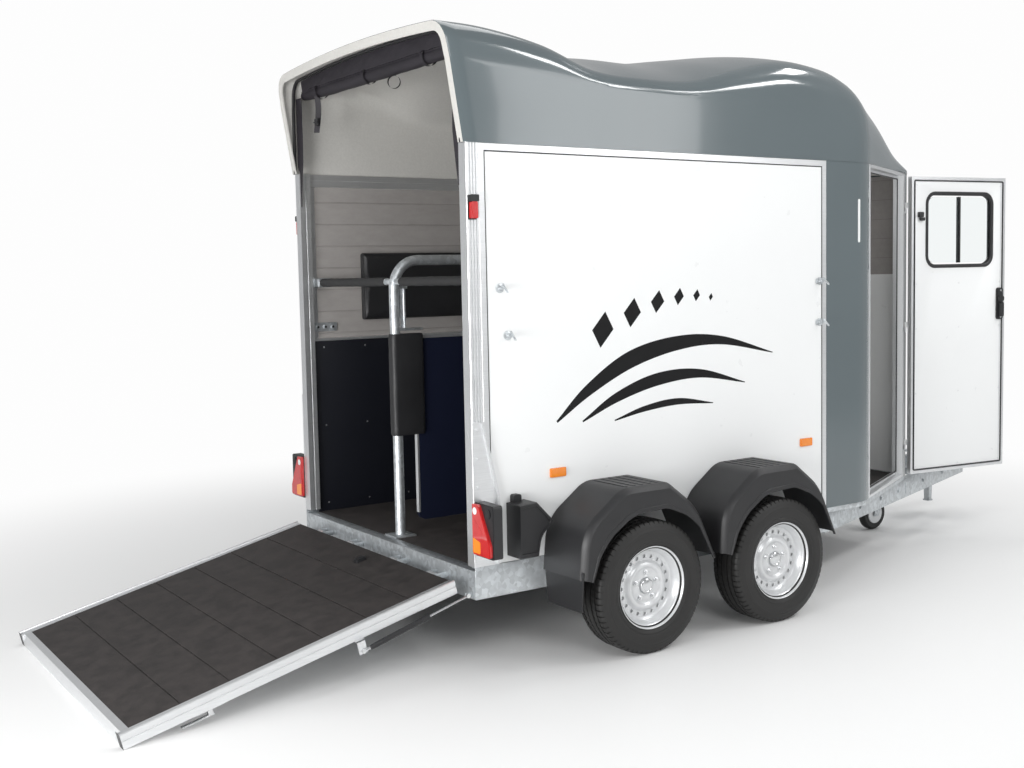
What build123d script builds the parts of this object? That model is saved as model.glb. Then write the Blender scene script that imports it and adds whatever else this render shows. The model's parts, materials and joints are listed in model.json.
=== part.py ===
"""Two-axle horse trailer with a wavy moulded roof, a rear ramp and a groom's door in the nose.

Millimetres. +X is forward, +Y is left and +Z is up. The origin is on the ground, on the centreline,
midway between the tip of the lowered ramp and the nose of the coupling.
"""
from build123d import *
from math import asin, atan2, cos, degrees, pi, radians, sin, sqrt, tan
import os

os.makedirs("parts", exist_ok=True)

# Wheels and axles
TYRE_RADIUS = 294.5
TYRE_WIDTH = 185.0
RIM_RADIUS = 182.0
RIM_WIDTH = 162.0
HALF_WHEELBASE = 397.0
HUB_BORE = 30.0
DRUM_RADIUS = 110.0
DRUM_WIDTH = 62.0
AXLE_TUBE = 78.0
AXLE_ARM_LENGTH = 150.0

# Ramp
RAMP_LENGTH = 1467.0
RAMP_HALF_WIDTH = 796.0
RAMP_THICKNESS = 52.0
RAMP_PIN_Z = 368.0
RAMP_PIN_BACK = 45.0
RAMP_EDGE_WIDTH = 46.0
MAT_THICKNESS = 6.0

# Body
FLOOR_TOP = 426.0
FLOOR_THICKNESS = 22.0
SHELL_BOTTOM = FLOOR_TOP + 3
WALL_BOTTOM = 444.0
WALL_TOP = 2203.0
BODY_HALF_WIDTH = 840.0
WHEEL_STANDOFF = 185.0
WALL_THICKNESS = 25.0
REAR_TO_MID = 1137.0
POST_DEPTH = 58.0
PANEL_FRONT_TO_MID = 1004.0
NOSE_CORNER_RADIUS = 300.0
NOSE_CORNER_TO_MID = 1298.0
NOSE_FRONT_TO_MID = 2180.0
NOSE_FRONT_HALF = 423.0
NOSE_FRONT_RADIUS = 90.0
SHELL_THICKNESS = 18.0
RAIL_BOTTOM = 306.0
RAIL_WALL = 4.0
RAIL_FLANGE = 40.0
COUPLING_NOSE_TO_MID = 3470.0

# The lowered ramp rests its tip on the ground, which sets its slope
RAMP_HALF_T = RAMP_THICKNESS / 2
RAMP_REACH = sqrt(RAMP_LENGTH**2 + RAMP_HALF_T**2)
RAMP_SLOPE = degrees(asin(RAMP_PIN_Z / RAMP_REACH) - atan2(RAMP_HALF_T, RAMP_LENGTH))
RAMP_ALONG = (-cos(radians(RAMP_SLOPE)), -sin(radians(RAMP_SLOPE)))
RAMP_UP = (-sin(radians(RAMP_SLOPE)), cos(radians(RAMP_SLOPE)))
RAMP_TIP_TO_MID = REAR_TO_MID + RAMP_PIN_BACK - RAMP_LENGTH * RAMP_ALONG[0] - RAMP_HALF_T * RAMP_UP[0]

# Middle of the axles, measured from the origin
MID_X = (RAMP_TIP_TO_MID - COUPLING_NOSE_TO_MID) / 2
REAR_X = MID_X - REAR_TO_MID
PANEL_FRONT_X = MID_X + PANEL_FRONT_TO_MID
NOSE_FRONT_X = MID_X + NOSE_FRONT_TO_MID
NOSE_X = MID_X + COUPLING_NOSE_TO_MID
RAMP_PIN_X = REAR_X - RAMP_PIN_BACK
INSIDE_HALF = BODY_HALF_WIDTH - WALL_THICKNESS
WHEEL_CENTRE_Y = BODY_HALF_WIDTH + WHEEL_STANDOFF
AXLES = {"front": MID_X + HALF_WHEELBASE, "rear": MID_X - HALF_WHEELBASE}
SIDES = {"right": -1, "left": 1}

# Nose face that carries the groom's door, seen from above
FACE_ANGLE = degrees(atan2(BODY_HALF_WIDTH - NOSE_FRONT_HALF, NOSE_FRONT_TO_MID - NOSE_CORNER_TO_MID))
FACE_DIR = (cos(radians(FACE_ANGLE)), sin(radians(FACE_ANGLE)))
FACE_OUT = (FACE_DIR[1], -FACE_DIR[0])

# Groom's door
DOOR_WIDTH = 735.0
DOOR_BOTTOM = 450.0
DOOR_TOP = WALL_TOP - 25
DOOR_THICKNESS = 28.0
DOOR_GAP = 7.0
DOOR_OPEN_ANGLE = 146.0
DOOR_PIN_OUT = 12.0
DOOR_PIN_TO_CORNER = 120.0
CORNER_POINT = (NOSE_FRONT_X, -NOSE_FRONT_HALF)
DOOR_PIN = (
    CORNER_POINT[0] - DOOR_PIN_TO_CORNER * FACE_DIR[0] + DOOR_PIN_OUT * FACE_OUT[0],
    CORNER_POINT[1] - DOOR_PIN_TO_CORNER * FACE_DIR[1] + DOOR_PIN_OUT * FACE_OUT[1],
)
CLOSED_ANGLE = 180.0 + FACE_ANGLE
OPEN_ANGLE = CLOSED_ANGLE + DOOR_OPEN_ANGLE


# Clearance between two pieces that seat on each other
SEAT_GAP = 0.3


def save(piece, name):
    """Label a finished piece and write it as one STEP file."""
    piece.part.label = name
    export_step(piece.part, f"parts/{name}.step")


def box_at(x0, x1, y0, y1, z0, z1, mode=Mode.ADD):
    """A box between two corners, inside the open part."""
    with Locations(((x0 + x1) / 2, (y0 + y1) / 2, (z0 + z1) / 2)):
        Box(x1 - x0, y1 - y0, z1 - z0, mode=mode)


def rod_at(start, end, radius, mode=Mode.ADD):
    """A round bar between two points, inside the open part."""
    direction = Vector(*end) - Vector(*start)
    with BuildSketch(Plane(origin=start, z_dir=direction)) as disc:
        Circle(radius)
    extrude(disc.sketch, amount=direction.length, mode=mode)


def plan_points(inset, rear_x):
    """Corners of the body's plan outline from rear_x to the nose, moved in by inset."""
    half = BODY_HALF_WIDTH - inset
    corner_shift = inset * tan(radians(FACE_ANGLE / 2))
    front_shift = inset * tan(radians((90 - FACE_ANGLE) / 2))
    corner_x = MID_X + NOSE_CORNER_TO_MID - corner_shift
    front_half = NOSE_FRONT_HALF - front_shift
    front_x = NOSE_FRONT_X - inset
    return [(rear_x, -half), (corner_x, -half), (front_x, -front_half),
            (front_x, front_half), (corner_x, half), (rear_x, half)]


def plan_face(inset, rear_x):
    """The plan outline as a face with its corners rounded, inside the open sketch."""
    points = plan_points(inset, rear_x)
    with BuildLine() as outline:
        Polyline(*points, close=True)
    make_face(outline.edges())


def round_plan(sketch, inset):
    """Round the nose corners of a plan outline."""
    between = (NOSE_CORNER_TO_MID + NOSE_FRONT_TO_MID) / 2 + MID_X
    behind = (PANEL_FRONT_X + NOSE_CORNER_TO_MID + MID_X) / 2
    sides = sketch.vertices().filter_by(lambda v: behind < v.X < between)
    fillet(sides, NOSE_CORNER_RADIUS - inset)
    front = sketch.vertices().filter_by(lambda v: v.X > between)
    front = front.filter_by(lambda v: v.X > NOSE_FRONT_X - NOSE_CORNER_RADIUS)
    fillet(front, NOSE_FRONT_RADIUS - inset)


# Chassis: side rails, cross members and rear sill
RAIL_FRONT_X = PANEL_FRONT_X - 4
SILL_DEPTH = POST_DEPTH
CROSS_WIDTH = 40.0
CROSS_DEPTH = 70.0
CROSS_TOP = FLOOR_TOP - FLOOR_THICKNESS
CROSS_XS = [MID_X - 640, MID_X - 150, MID_X + 300, MID_X + 700]
FRONT_CROSS_X = RAIL_FRONT_X - CROSS_WIDTH
with BuildPart() as chassis_frame:
    for side in SIDES.values():
        web = side * (BODY_HALF_WIDTH - RAIL_WALL)
        outer = side * BODY_HALF_WIDTH
        inner = side * (BODY_HALF_WIDTH - RAIL_FLANGE)
        ledge = side * INSIDE_HALF
        box_at(REAR_X, RAIL_FRONT_X, min(web, outer), max(web, outer), RAIL_BOTTOM, WALL_BOTTOM)
        box_at(REAR_X, RAIL_FRONT_X, min(inner, outer), max(inner, outer), RAIL_BOTTOM, RAIL_BOTTOM + RAIL_WALL)
        box_at(REAR_X, RAIL_FRONT_X, min(ledge, outer), max(ledge, outer), WALL_BOTTOM - RAIL_WALL, WALL_BOTTOM)
    for cross_x in [*CROSS_XS, FRONT_CROSS_X]:
        box_at(cross_x, cross_x + CROSS_WIDTH, -BODY_HALF_WIDTH + RAIL_WALL, BODY_HALF_WIDTH - RAIL_WALL,
               CROSS_TOP - CROSS_DEPTH, CROSS_TOP)
    box_at(REAR_X, REAR_X + SILL_DEPTH, -BODY_HALF_WIDTH, BODY_HALF_WIDTH, RAIL_BOTTOM, FLOOR_TOP)
save(chassis_frame, "chassis_frame")

# Drawbar: two converging rails with cross plates
DRAW_START = (PANEL_FRONT_X + 2, BODY_HALF_WIDTH - 12)
DRAW_END_X = NOSE_X - 310
DRAW_END_HALF = 104.0
DRAW_WIDTH = 52.0
DRAW_BOTTOM = 296.0
DRAW_TOP = CROSS_TOP
DRAW_SLOPE = (DRAW_START[1] - DRAW_END_HALF) / (DRAW_END_X - DRAW_START[0])


def draw_outer(x):
    """Outer edge of a drawbar rail at a place along the trailer."""
    return DRAW_START[1] - (x - DRAW_START[0]) * DRAW_SLOPE


# Jockey wheel's place, which the clamp plate follows
JOCKEY_WHEEL_X = NOSE_FRONT_X + 194
JOCKEY_TRAIL = 62.0
JOCKEY_TUBE_X = JOCKEY_WHEEL_X + JOCKEY_TRAIL
JOCKEY_WHEEL_RADIUS = 104.0
JOCKEY_LIFT = 120.0
FORK_TOP = 2 * JOCKEY_WHEEL_RADIUS + 14
FORK_PLATE = 8.0
TUBE_BOTTOM = FORK_TOP + FORK_PLATE + JOCKEY_LIFT + 8
CLAMP_PLATE_X = JOCKEY_TUBE_X + 64
HEAD_PLATE_X = NOSE_X - 570
with BuildPart() as drawbar:
    for side in SIDES.values():
        with BuildSketch(Plane.XY.offset(DRAW_BOTTOM)):
            with BuildLine():
                Polyline(
                    (DRAW_START[0], side * DRAW_START[1]),
                    (DRAW_END_X, side * DRAW_END_HALF),
                    (DRAW_END_X, side * (DRAW_END_HALF - DRAW_WIDTH)),
                    (DRAW_START[0], side * (DRAW_START[1] - DRAW_WIDTH)),
                    close=True,
                )
            make_face()
        extrude(amount=DRAW_TOP - DRAW_BOTTOM)
    for plate_x, plate_bottom in ((CLAMP_PLATE_X, TUBE_BOTTOM), (HEAD_PLATE_X, DRAW_BOTTOM + 4)):
        reach = draw_outer(plate_x) - DRAW_WIDTH / 2
        box_at(plate_x, plate_x + 8, -reach, reach, plate_bottom, DRAW_TOP - 4)
save(drawbar, "drawbar")

# Floor board
with BuildPart() as floor_board:
    with BuildSketch(Plane.XY.offset(CROSS_TOP)) as floor_plan:
        plan_face(WALL_THICKNESS + 2, REAR_X + SILL_DEPTH + 1)
        round_plan(floor_plan, WALL_THICKNESS + 2)
    extrude(amount=FLOOR_THICKNESS)
save(floor_board, "floor_board")

# Sill plate round the nose, between floor and drawbar
SILL_PLATE = 4.0
SILL_PLATE_BOTTOM = DRAW_TOP
with BuildPart() as nose_sill:
    with BuildSketch(Plane.XY.offset(SILL_PLATE_BOTTOM)) as sill_outer:
        plan_face(2, PANEL_FRONT_X + 1)
        round_plan(sill_outer, 2)
    extrude(amount=SHELL_BOTTOM - SILL_PLATE_BOTTOM)
    with BuildSketch(Plane.XY.offset(SILL_PLATE_BOTTOM)) as sill_inner:
        plan_face(2 + SILL_PLATE, PANEL_FRONT_X - 50)
        round_plan(sill_inner, 2 + SILL_PLATE)
    extrude(amount=SHELL_BOTTOM - SILL_PLATE_BOTTOM, mode=Mode.SUBTRACT)
save(nose_sill, "nose_sill")

# Side walls with their extruded frames
FRAME_WIDTH = 34.0
FRAME_PROUD = 3.0
WALL_REAR_X = REAR_X + POST_DEPTH
for side_name, side in SIDES.items():
    outer = side * (BODY_HALF_WIDTH - FRAME_PROUD)
    inner = side * INSIDE_HALF
    with BuildPart() as side_wall:
        box_at(WALL_REAR_X + FRAME_WIDTH, PANEL_FRONT_X - FRAME_WIDTH, min(outer, inner), max(outer, inner),
               WALL_BOTTOM + 2, WALL_TOP - FRAME_WIDTH)
    save(side_wall, f"side_wall_{side_name}")
    outer = side * BODY_HALF_WIDTH
    with BuildPart() as wall_frame:
        box_at(WALL_REAR_X, PANEL_FRONT_X, min(outer, inner), max(outer, inner), WALL_BOTTOM, WALL_TOP)
        box_at(WALL_REAR_X + FRAME_WIDTH, PANEL_FRONT_X - FRAME_WIDTH, min(inner, outer) - 1, max(inner, outer) + 1,
               WALL_BOTTOM - 1, WALL_TOP - FRAME_WIDTH, mode=Mode.SUBTRACT)
    save(wall_frame, f"wall_frame_{side_name}")

# Rear frame: two ribbed posts standing on the sill, with corner braces
POST_WIDTH = 56.0
RIB_WIDTH = 8.0
RIB_DEPTH = 5.0
BRACE_TOP = 1056.0
BRACE_FOOT = 728.0
BRACE_PLATE = 5.0
with BuildPart() as rear_frame:
    for side in SIDES.values():
        outer = side * BODY_HALF_WIDTH
        inner = side * (BODY_HALF_WIDTH - POST_WIDTH)
        box_at(REAR_X, WALL_REAR_X, min(outer, inner), max(outer, inner), WALL_BOTTOM, WALL_TOP)
        for groove in (1, 3):
            groove_x = REAR_X + 6 + groove * RIB_WIDTH * 1.3
            cut = side * (BODY_HALF_WIDTH - RIB_DEPTH)
            box_at(groove_x, groove_x + RIB_WIDTH, min(outer, cut), max(outer, cut), WALL_BOTTOM, WALL_TOP,
                   mode=Mode.SUBTRACT)
        foot = side * (BODY_HALF_WIDTH + BRACE_PLATE)
        with BuildSketch(Plane.XZ.offset(-max(outer, foot))):
            with BuildLine():
                Polyline(
                    (REAR_X, WALL_BOTTOM),
                    (REAR_X, BRACE_TOP),
                    (REAR_X + 45, BRACE_TOP),
                    (WALL_REAR_X + 62, BRACE_FOOT),
                    (WALL_REAR_X + 62, WALL_BOTTOM),
                    close=True,
                )
            make_face()
        extrude(amount=BRACE_PLATE)
save(rear_frame, "rear_frame")

# Roof and nose cap: cross-sections from the rear hood to the nose
ROOF_HALF = BODY_HALF_WIDTH + 3
ROOF_LEAN = 6.0
HOOD_REAR_TO_MID = 1290.0
HOOD_FOOT_TO_MID = 1149.0
HOOD_LEAN = 9.1
HOOD_LIP = 42.0
HOOD_LIP_DEPTH = 6.0
# columns: place from the middle of the axles, half width, crease of the side, top of the leaning side,
# height of the crown, slope of the crown's edge
ROOF_STATIONS = [
    (-HOOD_REAR_TO_MID, ROOF_HALF, 2548.0, 2606.0, 2724.0, 4.0),
    (-1000.0, ROOF_HALF, 2522.0, 2594.0, 2722.0, 4.5),
    (-700.0, ROOF_HALF, 2495.0, 2545.0, 2698.0, 8.0),
    (-450.0, ROOF_HALF, 2468.0, 2480.0, 2706.0, 22.0),
    (-150.0, ROOF_HALF, 2456.0, 2466.0, 2724.0, 27.0),
    (150.0, ROOF_HALF, 2458.0, 2470.0, 2722.0, 25.0),
    (450.0, ROOF_HALF, 2478.0, 2512.0, 2759.0, 20.0),
    (800.0, ROOF_HALF, 2483.0, 2548.0, 2797.0, 15.5),
    (1100.0, ROOF_HALF, 2450.0, 2515.0, 2764.0, 13.0),
    (1240.0, ROOF_HALF, 2395.0, 2465.0, 2724.0, 13.0),
]


def face_half(x_to_mid):
    """Half width of the nose at a place in front of its corner."""
    return ROOF_HALF - (x_to_mid - NOSE_CORNER_TO_MID) * tan(radians(FACE_ANGLE))


# columns as above, for the nose cap
CAP_STATIONS = [
    ROOF_STATIONS[-1],
    (1400.0, face_half(1400.0), 2335.0, 2385.0, 2663.0, 15.0),
    (1640.0, face_half(1640.0), 2280.0, 2312.0, 2580.0, 19.0),
    (1900.0, face_half(1900.0), 2220.0, 2236.0, 2380.0, 15.0),
    (2172.0, face_half(2172.0), 2206.0, 2208.0, 2216.0, 1.0),
]


def roof_section(station, inset, base):
    """One cross-section: upright side, leaning side above a crease, round shoulder and shallow crown."""
    place, half, crease, side_top, crown, slope = station
    half = half - inset
    crown = crown - inset
    lean = radians(ROOF_LEAN)
    tilt = radians(slope)
    rise = tan(tilt / 2)
    edge = half - (side_top - crease) * tan(lean)
    radius = (crown - side_top - edge * rise) / (cos(tilt) - sin(lean) - (cos(lean) - sin(tilt)) * rise)
    centre = (edge - radius * cos(lean), side_top - radius * sin(lean))
    shoulder = []
    for angle in (lean, (lean + pi / 2 - tilt) / 2, pi / 2 - tilt):
        shoulder.append((centre[0] + radius * cos(angle), centre[1] + radius * sin(angle)))
    low, knee, high = shoulder
    with BuildSketch(Plane.YZ.offset(MID_X + place)) as section:
        with BuildLine():
            Line((-half, base), (-half, crease))
            Line((-half, crease), (-low[0], low[1]))
            ThreePointArc((-low[0], low[1]), (-knee[0], knee[1]), (-high[0], high[1]))
            ThreePointArc((-high[0], high[1]), (0, crown), high)
            ThreePointArc(high, knee, low)
            Line(low, (half, crease))
            Line((half, crease), (half, base))
            Line((half, base), (-half, base))
        make_face()
    return section.sketch


def roof_loft(stations, inset, base, mode=Mode.ADD):
    """The roof's form through some of its cross-sections, inside the open part."""
    for station in stations:
        add(roof_section(station, inset, base))
    loft(ruled=True, mode=mode)


def hood_slab(ahead, depth, mode):
    """A slab that leans with the hood's rear edge; ahead is its distance in front of that edge."""
    lean = tan(radians(HOOD_LEAN))
    rear = MID_X - HOOD_FOOT_TO_MID + ahead
    low = WALL_TOP - 50
    high = WALL_TOP + 700
    with BuildSketch(Plane.XZ.offset(-ROOF_HALF - 20)) as slab:
        with BuildLine() as outline:
            Polyline(
                (rear + 50 * lean, low),
                (rear - 700 * lean, high),
                (rear - 700 * lean + depth, high),
                (rear + 50 * lean + depth, low),
                close=True,
            )
        make_face(outline.edges())
    extrude(slab.sketch, amount=2 * ROOF_HALF + 40, mode=mode)


with BuildPart() as hood_lip:
    roof_loft(ROOF_STATIONS, 0, WALL_TOP)
    roof_loft(ROOF_STATIONS[:3], HOOD_LIP, WALL_TOP - 10, mode=Mode.SUBTRACT)
    hood_slab(0, HOOD_LIP_DEPTH, Mode.INTERSECT)
with BuildPart() as roof_shell:
    roof_loft(ROOF_STATIONS, 0, WALL_TOP)
    roof_loft(CAP_STATIONS, 0, WALL_TOP)
    roof_loft(ROOF_STATIONS, SHELL_THICKNESS, WALL_TOP - 10, mode=Mode.SUBTRACT)
    roof_loft(CAP_STATIONS[:-1], SHELL_THICKNESS, WALL_TOP - 10, mode=Mode.SUBTRACT)
    hood_slab(-600, 600, Mode.SUBTRACT)
    add(hood_lip)
save(roof_shell, "roof_shell")

# Rear curtain, rolled up under the hood, with its tapering side strips
CURTAIN_TO_MID = REAR_TO_MID - 0.5
CURTAIN_INSET = SHELL_THICKNESS + 12
CURTAIN_THICKNESS = 6.0
CURTAIN_ROLL_Z = 2600.0
CURTAIN_ROLL_RADIUS = 38.0
CURTAIN_ROLL_TO_MID = 1100.0
CURTAIN_STRIP = 80.0
CURTAIN_FOOT_Z = 2030.0
CURTAIN_FOOT = 12.0
CURTAIN_OUT = BODY_HALF_WIDTH - 56.0 - SEAT_GAP
with BuildPart() as rear_curtain:
    share = (HOOD_REAR_TO_MID - CURTAIN_TO_MID) / (HOOD_REAR_TO_MID + ROOF_STATIONS[1][0])
    station = [low + (high - low) * share for low, high in zip(*ROOF_STATIONS[:2])]
    sheet_x = MID_X - CURTAIN_TO_MID
    extrude(roof_section(station, CURTAIN_INSET, CURTAIN_FOOT_Z), amount=CURTAIN_THICKNESS, dir=(1, 0, 0))
    strip = ROOF_HALF - CURTAIN_INSET - CURTAIN_STRIP
    with BuildSketch(Plane.YZ.offset(sheet_x - 1)) as inside:
        with BuildLine():
            Polyline(
                (-CURTAIN_OUT + CURTAIN_FOOT, CURTAIN_FOOT_Z - 1),
                (-strip, WALL_TOP + 60),
                (-strip, CURTAIN_ROLL_Z),
                (strip, CURTAIN_ROLL_Z),
                (strip, WALL_TOP + 60),
                (CURTAIN_OUT - CURTAIN_FOOT, CURTAIN_FOOT_Z - 1),
                close=True,
            )
        make_face()
    extrude(inside.sketch, amount=CURTAIN_THICKNESS + 2, dir=(1, 0, 0), mode=Mode.SUBTRACT)
    for side in SIDES.values():
        post_y = (side * CURTAIN_OUT, side * (ROOF_HALF + 1))
        box_at(sheet_x - 1, sheet_x + CURTAIN_THICKNESS + 1, min(post_y), max(post_y), CURTAIN_FOOT_Z - 1,
               WALL_TOP + 3, mode=Mode.SUBTRACT)
    reach = strip + CURTAIN_STRIP / 2
    roll_x = MID_X - CURTAIN_ROLL_TO_MID
    rod_at((roll_x, -reach, CURTAIN_ROLL_Z), (roll_x, reach, CURTAIN_ROLL_Z), CURTAIN_ROLL_RADIUS)
save(rear_curtain, "rear_curtain")

# Nose shell below the roof, with the door opening in its right face
FRAME_EDGE = 24.0
CLOSED_PLANE = Plane(
    origin=(DOOR_PIN[0], DOOR_PIN[1], 0),
    x_dir=(cos(radians(CLOSED_ANGLE)), sin(radians(CLOSED_ANGLE)), 0),
    z_dir=(0, 0, 1),
)
OPEN_PLANE = Plane(
    origin=(DOOR_PIN[0], DOOR_PIN[1], 0),
    x_dir=(cos(radians(OPEN_ANGLE)), sin(radians(OPEN_ANGLE)), 0),
    z_dir=(0, 0, 1),
)


def door_pane(u0, u1, w0, w1, z0, z1, radius, mode=Mode.ADD):
    """A block with rounded corners in the face of the open door."""
    face = Plane(origin=OPEN_PLANE.from_local_coords((0, w0, 0)), x_dir=OPEN_PLANE.x_dir, z_dir=OPEN_PLANE.y_dir)
    with BuildSketch(face) as pane:
        with Locations(((u0 + u1) / 2, -(z0 + z1) / 2)):
            RectangleRounded(u1 - u0, z1 - z0, radius)
    extrude(pane.sketch, amount=w1 - w0, mode=mode)


def door_box(plane, u0, u1, w0, w1, z0, z1, mode=Mode.ADD):
    """A box on a door plane: u runs from the hinge pin, w outwards from it."""
    with BuildSketch(plane.offset(z0)) as block:
        with Locations(((u0 + u1) / 2, (w0 + w1) / 2)):
            Rectangle(u1 - u0, w1 - w0)
    extrude(block.sketch, amount=z1 - z0, mode=mode)


FRAME_U0 = DOOR_GAP - 5 - FRAME_EDGE
FRAME_U1 = DOOR_GAP + DOOR_WIDTH + 5 + FRAME_EDGE
FRAME_Z0 = SHELL_BOTTOM
FRAME_Z1 = DOOR_TOP + 5 + FRAME_EDGE - 6
with BuildPart() as front_shell:
    with BuildSketch(Plane.XY.offset(SHELL_BOTTOM)) as shell_outer:
        plan_face(0, PANEL_FRONT_X + 0.5)
        round_plan(shell_outer, 0)
    extrude(amount=WALL_TOP - SHELL_BOTTOM)
    with BuildSketch(Plane.XY.offset(SHELL_BOTTOM - 1)) as shell_inner:
        plan_face(SHELL_THICKNESS, PANEL_FRONT_X - 50)
        round_plan(shell_inner, SHELL_THICKNESS)
    extrude(amount=WALL_TOP - SHELL_BOTTOM + 2, mode=Mode.SUBTRACT)
    door_box(CLOSED_PLANE, FRAME_U0, FRAME_U1, -90, 20, FRAME_Z0 - 5, FRAME_Z1, mode=Mode.SUBTRACT)
save(front_shell, "front_shell")

# Door frame with its inner stop
with BuildPart() as door_frame:
    door_box(CLOSED_PLANE, FRAME_U0, FRAME_U1, -DOOR_PIN_OUT - 58, -DOOR_PIN_OUT + 1, FRAME_Z0, FRAME_Z1)
    door_box(CLOSED_PLANE, FRAME_U0 + FRAME_EDGE, FRAME_U1 - FRAME_EDGE, -DOOR_PIN_OUT - 36, 10,
             DOOR_BOTTOM - 6, DOOR_TOP + 6, mode=Mode.SUBTRACT)
    door_box(CLOSED_PLANE, FRAME_U0 + FRAME_EDGE + 14, FRAME_U1 - FRAME_EDGE - 14, -DOOR_PIN_OUT - 70, 10,
             DOOR_BOTTOM + 6, DOOR_TOP - 8, mode=Mode.SUBTRACT)
save(door_frame, "door_frame")

KNUCKLE = 6.0
HINGE_ZS = [620.0, 1310.0, 2000.0]
HINGE_HALF = 30.0
HINGE_LEAF = 60.0
with BuildPart() as door_hinges:
    for hinge_z in HINGE_ZS:
        low = hinge_z - HINGE_HALF
        high = hinge_z - SEAT_GAP
        rod_at((*DOOR_PIN, low), (*DOOR_PIN, high), KNUCKLE)
        door_box(CLOSED_PLANE, -FRAME_EDGE + 4, 0, -DOOR_PIN_OUT + 1, 0, low, high)
save(door_hinges, "door_hinges")

# Groom's door, standing open, with its window
WINDOW_U0 = 122.0
WINDOW_U1 = 636.0
WINDOW_HEIGHT = 425.0
WINDOW_Z1 = DOOR_TOP - 93
WINDOW_Z0 = WINDOW_Z1 - WINDOW_HEIGHT
WINDOW_ROUND = 62.0
DOOR_FACE = -DOOR_PIN_OUT
DOOR_BACK = -DOOR_PIN_OUT - DOOR_THICKNESS
with BuildPart() as groom_door:
    door_box(OPEN_PLANE, DOOR_GAP, DOOR_GAP + DOOR_WIDTH, DOOR_BACK, DOOR_FACE, DOOR_BOTTOM, DOOR_TOP)
    door_pane(WINDOW_U0, WINDOW_U1, DOOR_BACK - 5, DOOR_FACE + 5, WINDOW_Z0, WINDOW_Z1, WINDOW_ROUND,
              mode=Mode.SUBTRACT)
    for hinge_z in HINGE_ZS:
        rod_at((DOOR_PIN[0], DOOR_PIN[1], hinge_z), (DOOR_PIN[0], DOOR_PIN[1], hinge_z + HINGE_HALF), KNUCKLE)
        door_box(OPEN_PLANE, DOOR_GAP + 1, HINGE_LEAF, DOOR_FACE, DOOR_FACE + 6, hinge_z, hinge_z + HINGE_HALF)
        door_box(OPEN_PLANE, 0, DOOR_GAP + 5, DOOR_FACE + 6, 0, hinge_z, hinge_z + HINGE_HALF)
save(groom_door, "groom_door")

WINDOW_RIM = 22.0
MULLION = 18.0
with BuildPart() as door_window_frame:
    door_pane(WINDOW_U0 + 1, WINDOW_U1 - 1, DOOR_BACK - 6, DOOR_FACE + 4, WINDOW_Z0 + 1, WINDOW_Z1 - 1,
              WINDOW_ROUND - 1)
    door_pane(WINDOW_U0 + WINDOW_RIM, WINDOW_U1 - WINDOW_RIM, DOOR_BACK - 10, DOOR_FACE + 10,
              WINDOW_Z0 + WINDOW_RIM, WINDOW_Z1 - WINDOW_RIM, WINDOW_ROUND - WINDOW_RIM, mode=Mode.SUBTRACT)
    middle = (WINDOW_U0 + WINDOW_U1) / 2
    door_box(OPEN_PLANE, middle - MULLION / 2, middle + MULLION / 2, DOOR_BACK + 4, DOOR_FACE - 4,
             WINDOW_Z0 + WINDOW_RIM - 2, WINDOW_Z1 - WINDOW_RIM + 2)
save(door_window_frame, "door_window_frame")

GLASS_THICKNESS = 4.0
with BuildPart() as door_glass:
    door_pane(WINDOW_U0 + WINDOW_RIM, WINDOW_U1 - WINDOW_RIM, DOOR_BACK + 10, DOOR_BACK + 10 + GLASS_THICKNESS,
              WINDOW_Z0 + WINDOW_RIM, WINDOW_Z1 - WINDOW_RIM, WINDOW_ROUND - WINDOW_RIM)
    door_box(OPEN_PLANE, middle - MULLION / 2, middle + MULLION / 2, DOOR_BACK, DOOR_FACE, WINDOW_Z0, WINDOW_Z1,
             mode=Mode.SUBTRACT)
save(door_glass, "door_glass")

# Door handle on the inner face and its pull on the outer face
HANDLE_Z = 1430.0
with BuildPart() as door_handle:
    door_box(OPEN_PLANE, DOOR_WIDTH - 62, DOOR_WIDTH - 12, DOOR_BACK - 14, DOOR_BACK, HANDLE_Z - 95, HANDLE_Z + 95)
    door_box(OPEN_PLANE, DOOR_WIDTH - 52, DOOR_WIDTH - 28, DOOR_BACK - 34, DOOR_BACK - 14, HANDLE_Z - 60, HANDLE_Z)
save(door_handle, "door_handle")

# Bulkhead between horse space and groom's space
BULKHEAD_X = PANEL_FRONT_X - 20
BULKHEAD_TOP = 1560.0
with BuildPart() as bulkhead:
    box_at(BULKHEAD_X, BULKHEAD_X + 18, -INSIDE_HALF + 8, INSIDE_HALF - 8, FLOOR_TOP, BULKHEAD_TOP)
save(bulkhead, "bulkhead")

# Kick panels on the lower walls
KICK_TOP = 1335.0
KICK_THICKNESS = 6.0
with BuildPart() as kick_panels:
    for side in SIDES.values():
        outer = side * (INSIDE_HALF - 0.3)
        inner = side * (INSIDE_HALF - KICK_THICKNESS)
        box_at(WALL_REAR_X + 2, BULKHEAD_X - 2, min(outer, inner), max(outer, inner), FLOOR_TOP + 0.5, KICK_TOP)
save(kick_panels, "kick_panels")

# Wall pads at flank height
PAD_X0 = MID_X - 798
PAD_LENGTH = 1218.0
PAD_X1 = PAD_X0 + PAD_LENGTH
PAD_Z0 = 1430.0
PAD_Z1 = 1800.0
PAD_THICKNESS = 45.0
for side_name, side in SIDES.items():
    outer = side * (INSIDE_HALF - 0.3)
    inner = side * (INSIDE_HALF - PAD_THICKNESS)
    with BuildPart() as wall_pad:
        box_at(PAD_X0, PAD_X1, min(outer, inner), max(outer, inner), PAD_Z0, PAD_Z1)
        fillet(wall_pad.edges().filter_by(Axis.Y), 14)
    save(wall_pad, f"wall_pad_{side_name}")

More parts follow.
